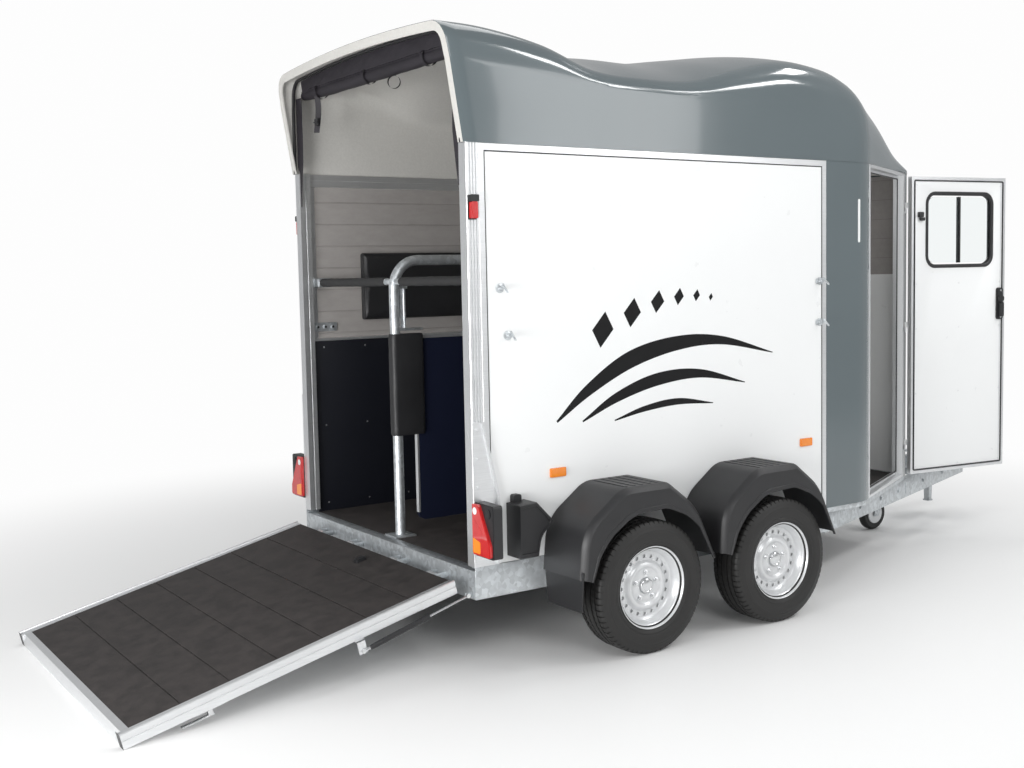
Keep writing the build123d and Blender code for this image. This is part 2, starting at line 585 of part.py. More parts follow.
# Partition: hooped tube with two guide tubes, a joint plate and a foot plate at each leg
HOOP_REAR_X = MID_X - 1029
HOOP_FRONT_X = MID_X + 780
HOOP_TOP = 1740.0
HOOP_RADIUS = 24.0
HOOP_BEND = 130.0
FOOT_HALF = 55.0
FOOT_PLATE = 8.0
GUIDE_RADIUS = 8.0
GUIDE_TO_POST = 46.0
GUIDE_TOP = 1618.0
JOINT_Z = 1408.0
JOINT_REACH = 140.0
with BuildPart() as partition_frame:
    with BuildLine(Plane.XZ) as hoop_path:
        FilletPolyline(
            (HOOP_REAR_X, FLOOR_TOP + FOOT_PLATE),
            (HOOP_REAR_X, HOOP_TOP),
            (HOOP_FRONT_X, HOOP_TOP),
            (HOOP_FRONT_X, FLOOR_TOP + FOOT_PLATE),
            radius=HOOP_BEND,
        )
    with BuildSketch(Plane.XY.offset(FLOOR_TOP + FOOT_PLATE).move(Location((HOOP_REAR_X, 0, 0)))):
        Circle(HOOP_RADIUS)
    sweep()
    for foot_x in (HOOP_REAR_X, HOOP_FRONT_X):
        box_at(foot_x - FOOT_HALF, foot_x + FOOT_HALF, -FOOT_HALF, FOOT_HALF, FLOOR_TOP + SEAT_GAP,
               FLOOR_TOP + FOOT_PLATE)
    guide_x = HOOP_REAR_X + GUIDE_TO_POST
    for guide_y in (-GUIDE_RADIUS - 3, GUIDE_RADIUS + 3):
        rod_at((guide_x, guide_y, JOINT_Z), (guide_x, guide_y, GUIDE_TOP), GUIDE_RADIUS)
    for plate_z, reach in ((JOINT_Z, JOINT_REACH), (GUIDE_TOP - 12, GUIDE_TO_POST + 14)):
        box_at(HOOP_REAR_X, HOOP_REAR_X + reach, -22, 22, plate_z, plate_z + 12)
save(partition_frame, "partition_frame")

# Partition panel, carried behind by a hollow cover round the post's middle
PANEL_BOTTOM = 490.0
PANEL_TOP = 1385.0
PANEL_REAR_X = HOOP_REAR_X + 99
COVER_BOTTOM = 910.0
COVER_TOP = PANEL_TOP + 8
COVER_WALL = 6.0
COVER_HALF = HOOP_RADIUS + SEAT_GAP + COVER_WALL
COVER_ROUND = 22.0
with BuildPart() as partition_panel:
    box_at(PANEL_REAR_X, HOOP_FRONT_X - HOOP_RADIUS - SEAT_GAP, -12, 12, PANEL_BOTTOM, PANEL_TOP)
    fillet(partition_panel.edges().filter_by(Axis.Y).group_by(Axis.X)[0], 40)
    with BuildPart() as cover:
        box_at(HOOP_REAR_X - COVER_HALF, PANEL_REAR_X + 45, -COVER_HALF, COVER_HALF, COVER_BOTTOM, COVER_TOP)
        fillet(cover.edges().filter_by(Axis.Z), COVER_ROUND)
        hollow = HOOP_RADIUS + SEAT_GAP
        box_at(HOOP_REAR_X - hollow, HOOP_REAR_X + hollow, -hollow, hollow, COVER_BOTTOM - 1, COVER_TOP + 1,
               mode=Mode.SUBTRACT)
save(partition_panel, "partition_panel")

# Rump bars behind the horses and breast bars in front of them
BAR_Z = 1640.0
BAR_RADIUS = 22.0
BRACKET_REACH = 34.0
BAR_XS = {"rump": HOOP_REAR_X, "breast": HOOP_FRONT_X}
BAR_CENTRE_END = 60.0
BAR_PIN_Y = INSIDE_HALF - BRACKET_REACH - 6
BAR_PIN_RADIUS = 6.0
CHEEK = 5.0
for bar_name, bar_x in BAR_XS.items():
    for side_name, side in SIDES.items():
        start = side * (BAR_PIN_Y + 12)
        end = side * BAR_CENTRE_END
        pin_y = side * BAR_PIN_Y
        with BuildPart() as bar:
            rod_at((bar_x, start, BAR_Z), (bar_x, end, BAR_Z), BAR_RADIUS)
            rod_at((bar_x - 2 * BAR_RADIUS, pin_y, BAR_Z), (bar_x + 2 * BAR_RADIUS, pin_y, BAR_Z),
                   BAR_PIN_RADIUS + SEAT_GAP, mode=Mode.SUBTRACT)
        save(bar, f"{bar_name}_bar_{side_name}")

# Brackets that carry the bars, on the walls and on the partition's legs
with BuildPart() as bar_brackets:
    for bar_x in BAR_XS.values():
        for side in SIDES.values():
            wall = side * (INSIDE_HALF - SEAT_GAP)
            plate = side * (INSIDE_HALF - 6)
            tip = side * (INSIDE_HALF - BRACKET_REACH - 20)
            box_at(bar_x - 45, bar_x + 60, min(wall, plate), max(wall, plate), BAR_Z - 24, BAR_Z + 24)
            for cheek_x in (bar_x - BAR_RADIUS - SEAT_GAP - CHEEK, bar_x + BAR_RADIUS + SEAT_GAP):
                box_at(cheek_x, cheek_x + CHEEK, min(wall, tip), max(wall, tip), BAR_Z - 20, BAR_Z + 20)
            pin_y = side * BAR_PIN_Y
            rod_at((bar_x - BAR_RADIUS - CHEEK, pin_y, BAR_Z), (bar_x + BAR_RADIUS + CHEEK, pin_y, BAR_Z),
                   BAR_PIN_RADIUS)
            rod_at((bar_x, side * (HOOP_RADIUS + SEAT_GAP), BAR_Z), (bar_x, side * (BAR_CENTRE_END - 0.6), BAR_Z), 14)
save(bar_brackets, "bar_brackets")

# Ramp, lying on the ground behind the sill
RAMP_PLANE = Plane(origin=(RAMP_PIN_X, 0, RAMP_PIN_Z), x_dir=(RAMP_ALONG[0], 0, RAMP_ALONG[1]),
                   z_dir=(RAMP_UP[0], 0, RAMP_UP[1]))
RAMP_START = 24.0
BRACKET_PLATE = 5.0
SPRING_EYE_HALF = 5.0
SPRING_Y = RAMP_HALF_WIDTH + 20
SPRING_BASE = (REAR_X - 23, RAIL_BOTTOM + 19)
SPRING_EYE_ALONG = 500.0
SPRING_EYE_BELOW = 70.0
SPRING_EYE = (
    RAMP_PIN_X + SPRING_EYE_ALONG * RAMP_ALONG[0] - SPRING_EYE_BELOW * RAMP_UP[0],
    RAMP_PIN_Z + SPRING_EYE_ALONG * RAMP_ALONG[1] - SPRING_EYE_BELOW * RAMP_UP[1],
)


def ramp_box(u0, u1, v0, v1, w0, w1, mode=Mode.ADD):
    """A box on the ramp: u runs from the pin to the tip, w out of the walking face."""
    with BuildSketch(RAMP_PLANE.offset(w0)) as block:
        with Locations(((u0 + u1) / 2, (v0 + v1) / 2)):
            Rectangle(u1 - u0, v1 - v0)
    extrude(block.sketch, amount=w1 - w0, mode=mode)


# Side rails of the ramp are extrusions with a standing lip and a groove along their outer face
RAIL_LIP = 8.0
RAIL_GROOVE = 4.0
RAIL_SHOULDER = 12.0
LOCK_ALONG = 1130.0
with BuildPart() as ramp_frame:
    ramp_box(RAMP_START, RAMP_LENGTH, -RAMP_HALF_WIDTH, RAMP_HALF_WIDTH, -RAMP_HALF_T, RAMP_HALF_T)
    for side in SIDES.values():
        edge = side * RAMP_HALF_WIDTH
        shoulder = side * (RAMP_HALF_WIDTH - RAIL_SHOULDER)
        ramp_box(RAMP_START, RAMP_LENGTH, min(edge, shoulder), max(edge, shoulder), RAMP_HALF_T,
                 RAMP_HALF_T + RAIL_LIP)
        groove = side * (RAMP_HALF_WIDTH - RAIL_GROOVE)
        for groove_w in (-2.0, 14.0):
            ramp_box(RAMP_START - 2, RAMP_LENGTH + 2, min(edge, groove), max(edge, groove), groove_w, groove_w + 8,
                     mode=Mode.SUBTRACT)
    ramp_box(RAMP_START - 2, RAMP_LENGTH - RAMP_EDGE_WIDTH, -RAMP_HALF_WIDTH + RAMP_EDGE_WIDTH,
             RAMP_HALF_WIDTH - RAMP_EDGE_WIDTH, RAMP_HALF_T - MAT_THICKNESS, RAMP_HALF_T + RAIL_LIP,
             mode=Mode.SUBTRACT)
    for side in SIDES.values():
        lock = side * (RAMP_HALF_WIDTH - 30)
        ramp_box(LOCK_ALONG - 60, LOCK_ALONG + 60, lock - 22, lock + 22, -RAMP_HALF_T - 5, -RAMP_HALF_T)
        ramp_box(LOCK_ALONG - 14, LOCK_ALONG + 14, lock - 14, lock + 14, -RAMP_HALF_T - 28, -RAMP_HALF_T - 5)
        ramp_box(LOCK_ALONG - 12, LOCK_ALONG + 118, lock - 9, lock + 9, -RAMP_HALF_T - 34, -RAMP_HALF_T - 26)
        for knuckle in (220.0, 560.0):
            with BuildSketch(Plane.XZ.offset(-side * knuckle - 30)):
                with Locations((RAMP_PIN_X, RAMP_PIN_Z)):
                    Circle(13)
            extrude(amount=60)
            ramp_box(0, RAMP_START + 2, side * knuckle - 30, side * knuckle + 30, -12, 0)
        edge = side * (RAMP_HALF_WIDTH - 6)
        low = side * (SPRING_Y - SPRING_EYE_HALF - SEAT_GAP - BRACKET_PLATE)
        high = side * (SPRING_Y - SPRING_EYE_HALF - SEAT_GAP)
        ramp_box(SPRING_EYE_ALONG - 18, SPRING_EYE_ALONG + 18, min(edge, high), max(edge, high),
                 -RAMP_HALF_T - 4, -RAMP_HALF_T)
        ramp_box(SPRING_EYE_ALONG - 18, SPRING_EYE_ALONG + 18, min(low, high), max(low, high),
                 -SPRING_EYE_BELOW - 12, -RAMP_HALF_T)
save(ramp_frame, "ramp_frame")

MAT_FIELDS = 7
MAT_GROOVE = 5.0
with BuildPart() as ramp_mat:
    ramp_box(RAMP_START + 1, RAMP_LENGTH - RAMP_EDGE_WIDTH - 1, -RAMP_HALF_WIDTH + RAMP_EDGE_WIDTH + 1,
             RAMP_HALF_WIDTH - RAMP_EDGE_WIDTH - 1, RAMP_HALF_T - MAT_THICKNESS, RAMP_HALF_T - 1)
    field = (RAMP_LENGTH - RAMP_EDGE_WIDTH - RAMP_START) / MAT_FIELDS
    for line in range(1, MAT_FIELDS):
        groove_u = RAMP_START + line * field
        ramp_box(groove_u - MAT_GROOVE / 2, groove_u + MAT_GROOVE / 2, -RAMP_HALF_WIDTH, RAMP_HALF_WIDTH,
                 RAMP_HALF_T - MAT_THICKNESS / 2 - 1, RAMP_HALF_T, mode=Mode.SUBTRACT)
save(ramp_mat, "ramp_mat")

# Hinge brackets on the sill, either side of the ramp's knuckles
with BuildPart() as ramp_hinges:
    for side in SIDES.values():
        for knuckle in (220.0, 560.0):
            for ear in (-37.0, 32.0):
                ear_y = side * knuckle + ear
                box_at(RAMP_PIN_X - 12, REAR_X - 0.2, ear_y, ear_y + 5, RAMP_PIN_Z - 12, RAMP_PIN_Z + 12)
    for side in SIDES.values():
        low = side * (SPRING_Y - 6 - SEAT_GAP - BRACKET_PLATE)
        high = side * (SPRING_Y - 6 - SEAT_GAP)
        box_at(SPRING_BASE[0] - 10, REAR_X, min(low, high), max(low, high), SPRING_BASE[1] - 10, SPRING_BASE[1] + 10)
save(ramp_hinges, "ramp_hinges")

# Gas springs outside the ramp's edges
SPRING_LENGTH = sqrt((SPRING_EYE[0] - SPRING_BASE[0])**2 + (SPRING_EYE[1] - SPRING_BASE[1])**2)
SPRING_DIR = ((SPRING_EYE[0] - SPRING_BASE[0]) / SPRING_LENGTH, (SPRING_EYE[1] - SPRING_BASE[1]) / SPRING_LENGTH)
CYLINDER_LENGTH = 330.0
CYLINDER_RADIUS = 11.0
ROD_RADIUS = 5.0


def along_spring(distance, y):
    """A point on the gas spring's line."""
    return (SPRING_BASE[0] + distance * SPRING_DIR[0], y, SPRING_BASE[1] + distance * SPRING_DIR[1])


for side_name, side in SIDES.items():
    y = side * SPRING_Y
    with BuildPart() as gas_cylinder:
        with BuildSketch(Plane.XZ.offset(-y - 6)):
            with Locations(SPRING_BASE):
                Circle(10)
        extrude(amount=12)
        rod_at(along_spring(8, y), along_spring(18, y), 6)
        rod_at(along_spring(17, y), along_spring(CYLINDER_LENGTH, y), CYLINDER_RADIUS)
        rod_at(along_spring(30, y), along_spring(CYLINDER_LENGTH + 1, y), ROD_RADIUS + 0.5, mode=Mode.SUBTRACT)
    save(gas_cylinder, f"gas_cylinder_{side_name}")
    with BuildPart() as gas_rod:
        rod_at(along_spring(CYLINDER_LENGTH - 150, y), along_spring(SPRING_LENGTH - 6, y), ROD_RADIUS)
        with BuildSketch(Plane.XZ.offset(-y - 5)):
            with Locations(SPRING_EYE):
                Circle(10)
        extrude(amount=10)
    save(gas_rod, f"gas_rod_{side_name}")

# Wheels
TREAD_FLAT = 66.0
RIM_LIP = 8.0
DISC_Y = 20.0
VENT_COUNT = 20
VENT_RADIUS = 8.0
VENT_CIRCLE = 128.0


for axle_name, axle_x in AXLES.items():
    for side_name, side in SIDES.items():
        centre_y = side * WHEEL_CENTRE_Y
        profile_plane = Plane(origin=(axle_x, centre_y, TYRE_RADIUS), x_dir=(0, side, 0), z_dir=(1, 0, 0))
        spin = Axis((axle_x, centre_y, TYRE_RADIUS), (0, 1, 0))
        half = TYRE_WIDTH / 2
        seat = RIM_WIDTH / 2
        with BuildPart() as tyre:
            with BuildSketch(profile_plane):
                with BuildLine():
                    Line((-seat + 20.6, RIM_RADIUS - 15.6), (seat - 10.9, RIM_RADIUS - 15.6))
                    Line((seat - 10.9, RIM_RADIUS - 15.6), (seat - 4, RIM_RADIUS + 1))
                    ThreePointArc((seat - 4, RIM_RADIUS + 1), (half, (RIM_RADIUS + TYRE_RADIUS) / 2 - 4),
                                  (TREAD_FLAT + 12, TYRE_RADIUS - 8))
                    Line((TREAD_FLAT + 12, TYRE_RADIUS - 8), (TREAD_FLAT, TYRE_RADIUS))
                    Line((TREAD_FLAT, TYRE_RADIUS), (-TREAD_FLAT, TYRE_RADIUS))
                    Line((-TREAD_FLAT, TYRE_RADIUS), (-TREAD_FLAT - 12, TYRE_RADIUS - 8))
                    ThreePointArc((-TREAD_FLAT - 12, TYRE_RADIUS - 8), (-half, (RIM_RADIUS + TYRE_RADIUS) / 2 - 4),
                                  (-seat + 4, RIM_RADIUS + 1))
                    Line((-seat + 4, RIM_RADIUS + 1), (-seat + 20.6, RIM_RADIUS - 15.6))
                make_face()
            revolve(axis=spin)
        save(tyre, f"tyre_{axle_name}_{side_name}")
        with BuildPart() as rim:
            with BuildSketch(profile_plane):
                with BuildLine():
                    Polyline(
                        (seat, RIM_RADIUS),
                        (seat - 3, RIM_RADIUS),
                        (seat - 10, RIM_RADIUS - 16),
                        (seat - 40, RIM_RADIUS - 20),
                        (seat - 52, RIM_RADIUS - 32),
                        (-seat + 30, RIM_RADIUS - 32),
                        (-seat + 20, RIM_RADIUS - 16),
                        (-seat + 3, RIM_RADIUS),
                        (-seat, RIM_RADIUS),
                        (-seat, RIM_RADIUS - 4),
                        (-seat + 14, RIM_RADIUS - 20),
                        (-seat + 26, RIM_RADIUS - 36),
                        (DISC_Y - 4, RIM_RADIUS - 36),
                        (DISC_Y - 4, HUB_BORE),
                        (DISC_Y + 4, HUB_BORE),
                        (DISC_Y + 12, 70),
                        (DISC_Y + 2, 100),
                        (DISC_Y + 2, RIM_RADIUS - 36),
                        (seat - 52, RIM_RADIUS - 36),
                        (seat - 38, RIM_RADIUS - 24),
                        (seat - 8, RIM_RADIUS - 20),
                        (seat, RIM_RADIUS - 4),
                        close=True,
                    )
                make_face()
            revolve(axis=spin)
            with BuildSketch(Plane(origin=(axle_x, centre_y + side * (DISC_Y - 10), TYRE_RADIUS),
                                   z_dir=(0, side, 0))):
                with PolarLocations(VENT_CIRCLE, VENT_COUNT):
                    Circle(VENT_RADIUS)
            extrude(amount=30, mode=Mode.SUBTRACT)
            with BuildSketch(Plane(origin=(axle_x, centre_y + side * (DISC_Y + 3), TYRE_RADIUS),
                                   z_dir=(0, side, 0))):
                Circle(HUB_BORE + 6)
            extrude(amount=26)
        save(rim, f"rim_{axle_name}_{side_name}")

# Axles: torsion tube, trailing arms, drums
for axle_name, axle_x in AXLES.items():
    tube_x = axle_x + AXLE_ARM_LENGTH
    tube_z = RAIL_BOTTOM - AXLE_TUBE / 2
    with BuildPart() as axle:
        box_at(tube_x - AXLE_TUBE / 2, tube_x + AXLE_TUBE / 2, -BODY_HALF_WIDTH - 10, BODY_HALF_WIDTH + 10,
               tube_z - AXLE_TUBE / 2, tube_z + AXLE_TUBE / 2)
        for side in SIDES.values():
            y = side * (BODY_HALF_WIDTH + 24)
            with BuildSketch(Plane.XZ.offset(-y - 14)):
                with BuildLine():
                    Polyline((tube_x + 30, tube_z - 30), (tube_x + 30, tube_z + 34), (axle_x - 24, TYRE_RADIUS + 26),
                             (axle_x - 24, TYRE_RADIUS - 26), close=True)
                make_face()
            extrude(amount=28)
            drum_start = side * (BODY_HALF_WIDTH + 38)
            drum_end = drum_start + side * DRUM_WIDTH
            rod_at((axle_x, drum_start, TYRE_RADIUS), (axle_x, drum_end, TYRE_RADIUS), DRUM_RADIUS)
            rod_at((axle_x, drum_start, TYRE_RADIUS),
                   (axle_x, side * (WHEEL_CENTRE_Y + DISC_Y - 4.3), TYRE_RADIUS), HUB_BORE + 12)
    save(axle, f"axle_{axle_name}")

# Mudguards: an arch with a flat ribbed top and a sloping shoulder, whose lip ends on a circle round the wheel
GUARD_END_Z = 386.0
GUARD_TOP = 748.0
GUARD_THICKNESS = 5.0
GUARD_INNER_Y = BODY_HALF_WIDTH + SEAT_GAP
GUARD_OUTER_Y = WHEEL_CENTRE_Y + TYRE_WIDTH / 2 + 12
GUARD_SHOULDER = 22.0
GUARD_OPENING = TYRE_RADIUS + 56
GUARD_REAR_REACH = 392.0
GUARD_FRONT_REACH = 372.0
# columns: place from the axle, height, rounding of the arch's corners between its two ends
GUARD_CORNERS = [(-372.0, 600.0, 180.0), (-165.0, GUARD_TOP, 120.0), (95.0, GUARD_TOP, 60.0), (262.0, 620.0, 200.0)]
GUARD_RIBS = [-120.0, -77.0, -34.0, 9.0, 52.0]
GUARD_RIB_WIDTH = 17.0
GUARD_RIB_HEIGHT = 3.0
FLAP_BOTTOM = 246.0


def guard_block(axle_x, side, inset, low_z):
    """The space under a mudguard's skin moved in by inset, down to a height."""
    depth = GUARD_OUTER_Y - GUARD_INNER_Y
    start_y = side * (GUARD_INNER_Y + depth / 2) - depth / 2
    with BuildPart() as space:
        with BuildSketch(Plane.XZ.offset(-start_y - depth)):
            with BuildLine():
                corners = [(axle_x + place, height) for place, height, _ in GUARD_CORNERS]
                ends = ((axle_x - GUARD_REAR_REACH, GUARD_END_Z - 60), (axle_x + GUARD_FRONT_REACH, GUARD_END_Z - 60))
                arch = FilletPolyline(ends[0], *corners, ends[1], radius=[corner[2] for corner in GUARD_CORNERS])
                Line(arch @ 0, arch @ 1)
            make_face()
            if inset:
                offset(amount=-inset, mode=Mode.REPLACE)
        extrude(amount=depth)
        face = space.faces().sort_by(Axis.Y)[-1 if side > 0 else 0]
        chamfer(face.edges().filter_by(lambda edge: edge.center().Z > GUARD_END_Z - 30), GUARD_SHOULDER - inset)
    return space.part


for side_name, side in SIDES.items():
    with BuildPart() as mudguards:
        for axle_x in AXLES.values():
            add(guard_block(axle_x, side, 0, GUARD_END_Z))
        for axle_x in AXLES.values():
            inner = guard_block(axle_x, side, GUARD_THICKNESS, GUARD_END_Z)
            add(inner.moved(Location((0, -side * GUARD_THICKNESS, 0))), mode=Mode.SUBTRACT)
            lip_y = side * (GUARD_OUTER_Y - GUARD_THICKNESS)
            rod_at((axle_x, lip_y - side * 40, TYRE_RADIUS), (axle_x, lip_y + side * 40, TYRE_RADIUS), GUARD_OPENING,
                   mode=Mode.SUBTRACT)
        low_y = min(side * (GUARD_INNER_Y - 10), side * (GUARD_OUTER_Y + 10))
        box_at(AXLES["rear"] - 500, AXLES["front"] + 500, low_y, low_y + GUARD_OUTER_Y - GUARD_INNER_Y + 20,
               GUARD_END_Z - 100, GUARD_END_Z, mode=Mode.SUBTRACT)
        rib_y = (side * (GUARD_INNER_Y + 12), side * (GUARD_OUTER_Y - GUARD_SHOULDER - 16))
        for axle_x in AXLES.values():
            for rib in GUARD_RIBS:
                box_at(axle_x + rib - GUARD_RIB_WIDTH / 2, axle_x + rib + GUARD_RIB_WIDTH / 2, min(rib_y), max(rib_y),
                       GUARD_TOP - GUARD_THICKNESS / 2, GUARD_TOP + GUARD_RIB_HEIGHT)
        flap_x = AXLES["rear"] - GUARD_REAR_REACH + GUARD_THICKNESS
        flap_y = (side * (GUARD_INNER_Y + 12), side * (GUARD_OUTER_Y - GUARD_SHOULDER))
        box_at(flap_x, flap_x + GUARD_THICKNESS, min(flap_y), max(flap_y), FLAP_BOTTOM, GUARD_END_Z + 40)
    save(mudguards, f"mudguards_{side_name}")

# Overrun device and coupling head
SHAFT_Z = 430.0
HEAD_START_X = NOSE_X - 180
SHAFT_JOINT_X = NOSE_X - 300
BALL_X = NOSE_X - 52
BALL_RADIUS = 25.4
with BuildPart() as overrun_housing:
    rod_at((HEAD_PLATE_X + 8.5, 0, SHAFT_Z), (SHAFT_JOINT_X, 0, SHAFT_Z), 40)
    base_half = DRAW_END_HALF + 10
    box_at(HEAD_PLATE_X + 30, SHAFT_JOINT_X - 20, -base_half, base_half, DRAW_TOP + SEAT_GAP, DRAW_TOP + 12)
save(overrun_housing, "overrun_housing")
with BuildPart() as coupling_head:
    rod_at((SHAFT_JOINT_X + SEAT_GAP, 0, SHAFT_Z), (HEAD_START_X + 40, 0, SHAFT_Z), 25)
    box_at(HEAD_START_X, NOSE_X, -38, 38, SHAFT_Z - 30, SHAFT_Z + 34)
    with BuildSketch(Plane.XY.offset(SHAFT_Z - 31)):
        with Locations((BALL_X, 0)):
            Circle(BALL_RADIUS)
    extrude(amount=42, mode=Mode.SUBTRACT)
save(coupling_head, "coupling_head")

# Hand brake lever
with BuildPart() as handbrake_lever:
    rod_at((HEAD_PLATE_X + 90, 62, SHAFT_Z), (HEAD_PLATE_X - 260, 62, SHAFT_Z + 50), 10)
    rod_at((HEAD_PLATE_X + 90, 40.2, SHAFT_Z), (HEAD_PLATE_X + 90, 66, SHAFT_Z), 14)
save(handbrake_lever, "handbrake_lever")

# Jockey wheel in front of the nose
JOCKEY_WHEEL_WIDTH = 62.0
JOCKEY_TUBE_RADIUS = 24.0
JOCKEY_INNER_RADIUS = 19.0
TUBE_TOP = 690.0
with BuildPart() as jockey_tube:
    rod_at((JOCKEY_TUBE_X, 0, TUBE_BOTTOM), (JOCKEY_TUBE_X, 0, TUBE_TOP), JOCKEY_TUBE_RADIUS)
    rod_at((JOCKEY_TUBE_X, 0, TUBE_BOTTOM - 1), (JOCKEY_TUBE_X, 0, TUBE_TOP - 40), JOCKEY_INNER_RADIUS + 0.3,
           mode=Mode.SUBTRACT)
    box_at(JOCKEY_TUBE_X + JOCKEY_TUBE_RADIUS - 3, CLAMP_PLATE_X - 0.2, -30, 30, TUBE_BOTTOM + 2, DRAW_TOP - 6)
save(jockey_tube, "jockey_tube")
with BuildPart() as jockey_inner:
    inner_bottom = FORK_TOP + FORK_PLATE + SEAT_GAP
    inner_top = TUBE_TOP - 50 - JOCKEY_LIFT
    rod_at((JOCKEY_TUBE_X, 0, inner_bottom), (JOCKEY_TUBE_X, 0, inner_top), JOCKEY_INNER_RADIUS)
save(jockey_inner, "jockey_inner")
with BuildPart() as jockey_fork:
    box_at(JOCKEY_WHEEL_X - 24, JOCKEY_TUBE_X + 24, -JOCKEY_WHEEL_WIDTH / 2 - 10, JOCKEY_WHEEL_WIDTH / 2 + 10,
           FORK_TOP, FORK_TOP + FORK_PLATE)
    for side in SIDES.values():
        inner = side * (JOCKEY_WHEEL_WIDTH / 2 + 5)
        outer = side * (JOCKEY_WHEEL_WIDTH / 2 + 10)
        with BuildSketch(Plane.XZ.offset(-max(inner, outer))):
            with BuildLine():
                Polyline((JOCKEY_WHEEL_X - 20, JOCKEY_WHEEL_RADIUS - 16), (JOCKEY_WHEEL_X + 20, JOCKEY_WHEEL_RADIUS - 16),
                         (JOCKEY_TUBE_X + 20, FORK_TOP + 4), (JOCKEY_WHEEL_X - 10, FORK_TOP + 4), close=True)
            make_face()
        extrude(amount=5)
    rod_at((JOCKEY_WHEEL_X, -JOCKEY_WHEEL_WIDTH / 2 - 12, JOCKEY_WHEEL_RADIUS),
           (JOCKEY_WHEEL_X, JOCKEY_WHEEL_WIDTH / 2 + 12, JOCKEY_WHEEL_RADIUS), 8)
save(jockey_fork, "jockey_fork")
with BuildPart() as jockey_wheel:
    rod_at((JOCKEY_WHEEL_X, -JOCKEY_WHEEL_WIDTH / 2, JOCKEY_WHEEL_RADIUS),
           (JOCKEY_WHEEL_X, JOCKEY_WHEEL_WIDTH / 2, JOCKEY_WHEEL_RADIUS), JOCKEY_WHEEL_RADIUS)
    fillet(jockey_wheel.edges(), 12)
    rod_at((JOCKEY_WHEEL_X, -JOCKEY_WHEEL_WIDTH / 2 - 1, JOCKEY_WHEEL_RADIUS),
           (JOCKEY_WHEEL_X, JOCKEY_WHEEL_WIDTH / 2 + 1, JOCKEY_WHEEL_RADIUS), 8.1, mode=Mode.SUBTRACT)
save(jockey_wheel, "jockey_wheel")

# Tail lamps: a housing beside the brace's foot with a slanting lens
LAMP_Z0 = 500.0
LAMP_Z1 = 726.0
LAMP_WIDTH = 148.0
LAMP_DEPTH = 46.0
LENS_DEPTH = 14.0
LENS_TOP = 52.0
LENS_KNEE = 60.0
LAMP_IN_Y = BODY_HALF_WIDTH + BRACE_PLATE + SEAT_GAP
with BuildPart() as tail_lamps:
    for side in SIDES.values():
        far = side * (LAMP_IN_Y + LAMP_WIDTH)
        near = side * LAMP_IN_Y
        box_at(REAR_X - 4, REAR_X - 4 + LAMP_DEPTH, min(near, far), max(near, far), LAMP_Z0, LAMP_Z1)
        with BuildSketch(Plane.YZ.offset(REAR_X - 4 - LENS_DEPTH)):
            with BuildLine():
                Polyline(
                    (near, LAMP_Z0 + 8),
                    (side * (LAMP_IN_Y + LAMP_WIDTH - 8), LAMP_Z0 + 8),
                    (side * (LAMP_IN_Y + LAMP_WIDTH - 10), LAMP_Z0 + LENS_KNEE),
                    (side * (LAMP_IN_Y + LENS_TOP), LAMP_Z1 - 4),
                    (near, LAMP_Z1 - 4),
                    close=True,
                )
            make_face()
        extrude(amount=LENS_DEPTH, dir=(1, 0, 0))
save(tail_lamps, "tail_lamps")

# Markers on the posts and reflectors along the sides
with BuildPart() as marker_lamps:
    for side in SIDES.values():
        outer = side * (BODY_HALF_WIDTH + 26)
        inner = side * (BODY_HALF_WIDTH + 0.3)
        box_at(REAR_X + 4, REAR_X + 44, min(outer, inner), max(outer, inner), 1890, 1990)
        outer = side * (BODY_HALF_WIDTH + 8)
        for lamp_x, lamp_z in ((MID_X - 702, 801), (MID_X + 853, 787)):
            inner = side * (BODY_HALF_WIDTH - FRAME_PROUD + 0.3)
            box_at(lamp_x - 42, lamp_x + 42, min(outer, inner), max(outer, inner), lamp_z - 20, lamp_z + 20)
save(marker_lamps, "marker_lamps")

# Wheel chock on the right wall, its hollow face forward, with its holder's clip
CHOCK_REAR_X = MID_X - 974
CHOCK_WIDTH = 105.0
CHOCK_CURVE = 150.0
with BuildPart() as wheel_chock:
    y0 = -(BODY_HALF_WIDTH - FRAME_PROUD + SEAT_GAP)
    with BuildSketch(Plane.XZ.offset(-y0)):
        with BuildLine():
            Polyline(
                (CHOCK_REAR_X + 94, 474),
                (CHOCK_REAR_X, 474),
                (CHOCK_REAR_X, 700),
                (CHOCK_REAR_X + 89, 705),
                (CHOCK_REAR_X + 172, 620),
            )
            RadiusArc((CHOCK_REAR_X + 172, 620), (CHOCK_REAR_X + 94, 474), CHOCK_CURVE)
        make_face()
    extrude(amount=CHOCK_WIDTH)
    box_at(CHOCK_REAR_X + 20, CHOCK_REAR_X + 60, y0 - 30, y0, 690, 735)
save(wheel_chock, "wheel_chock")
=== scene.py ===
"""Looks of a two-axle horse trailer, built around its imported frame. Metres, +X forward, +Y left, +Z up."""

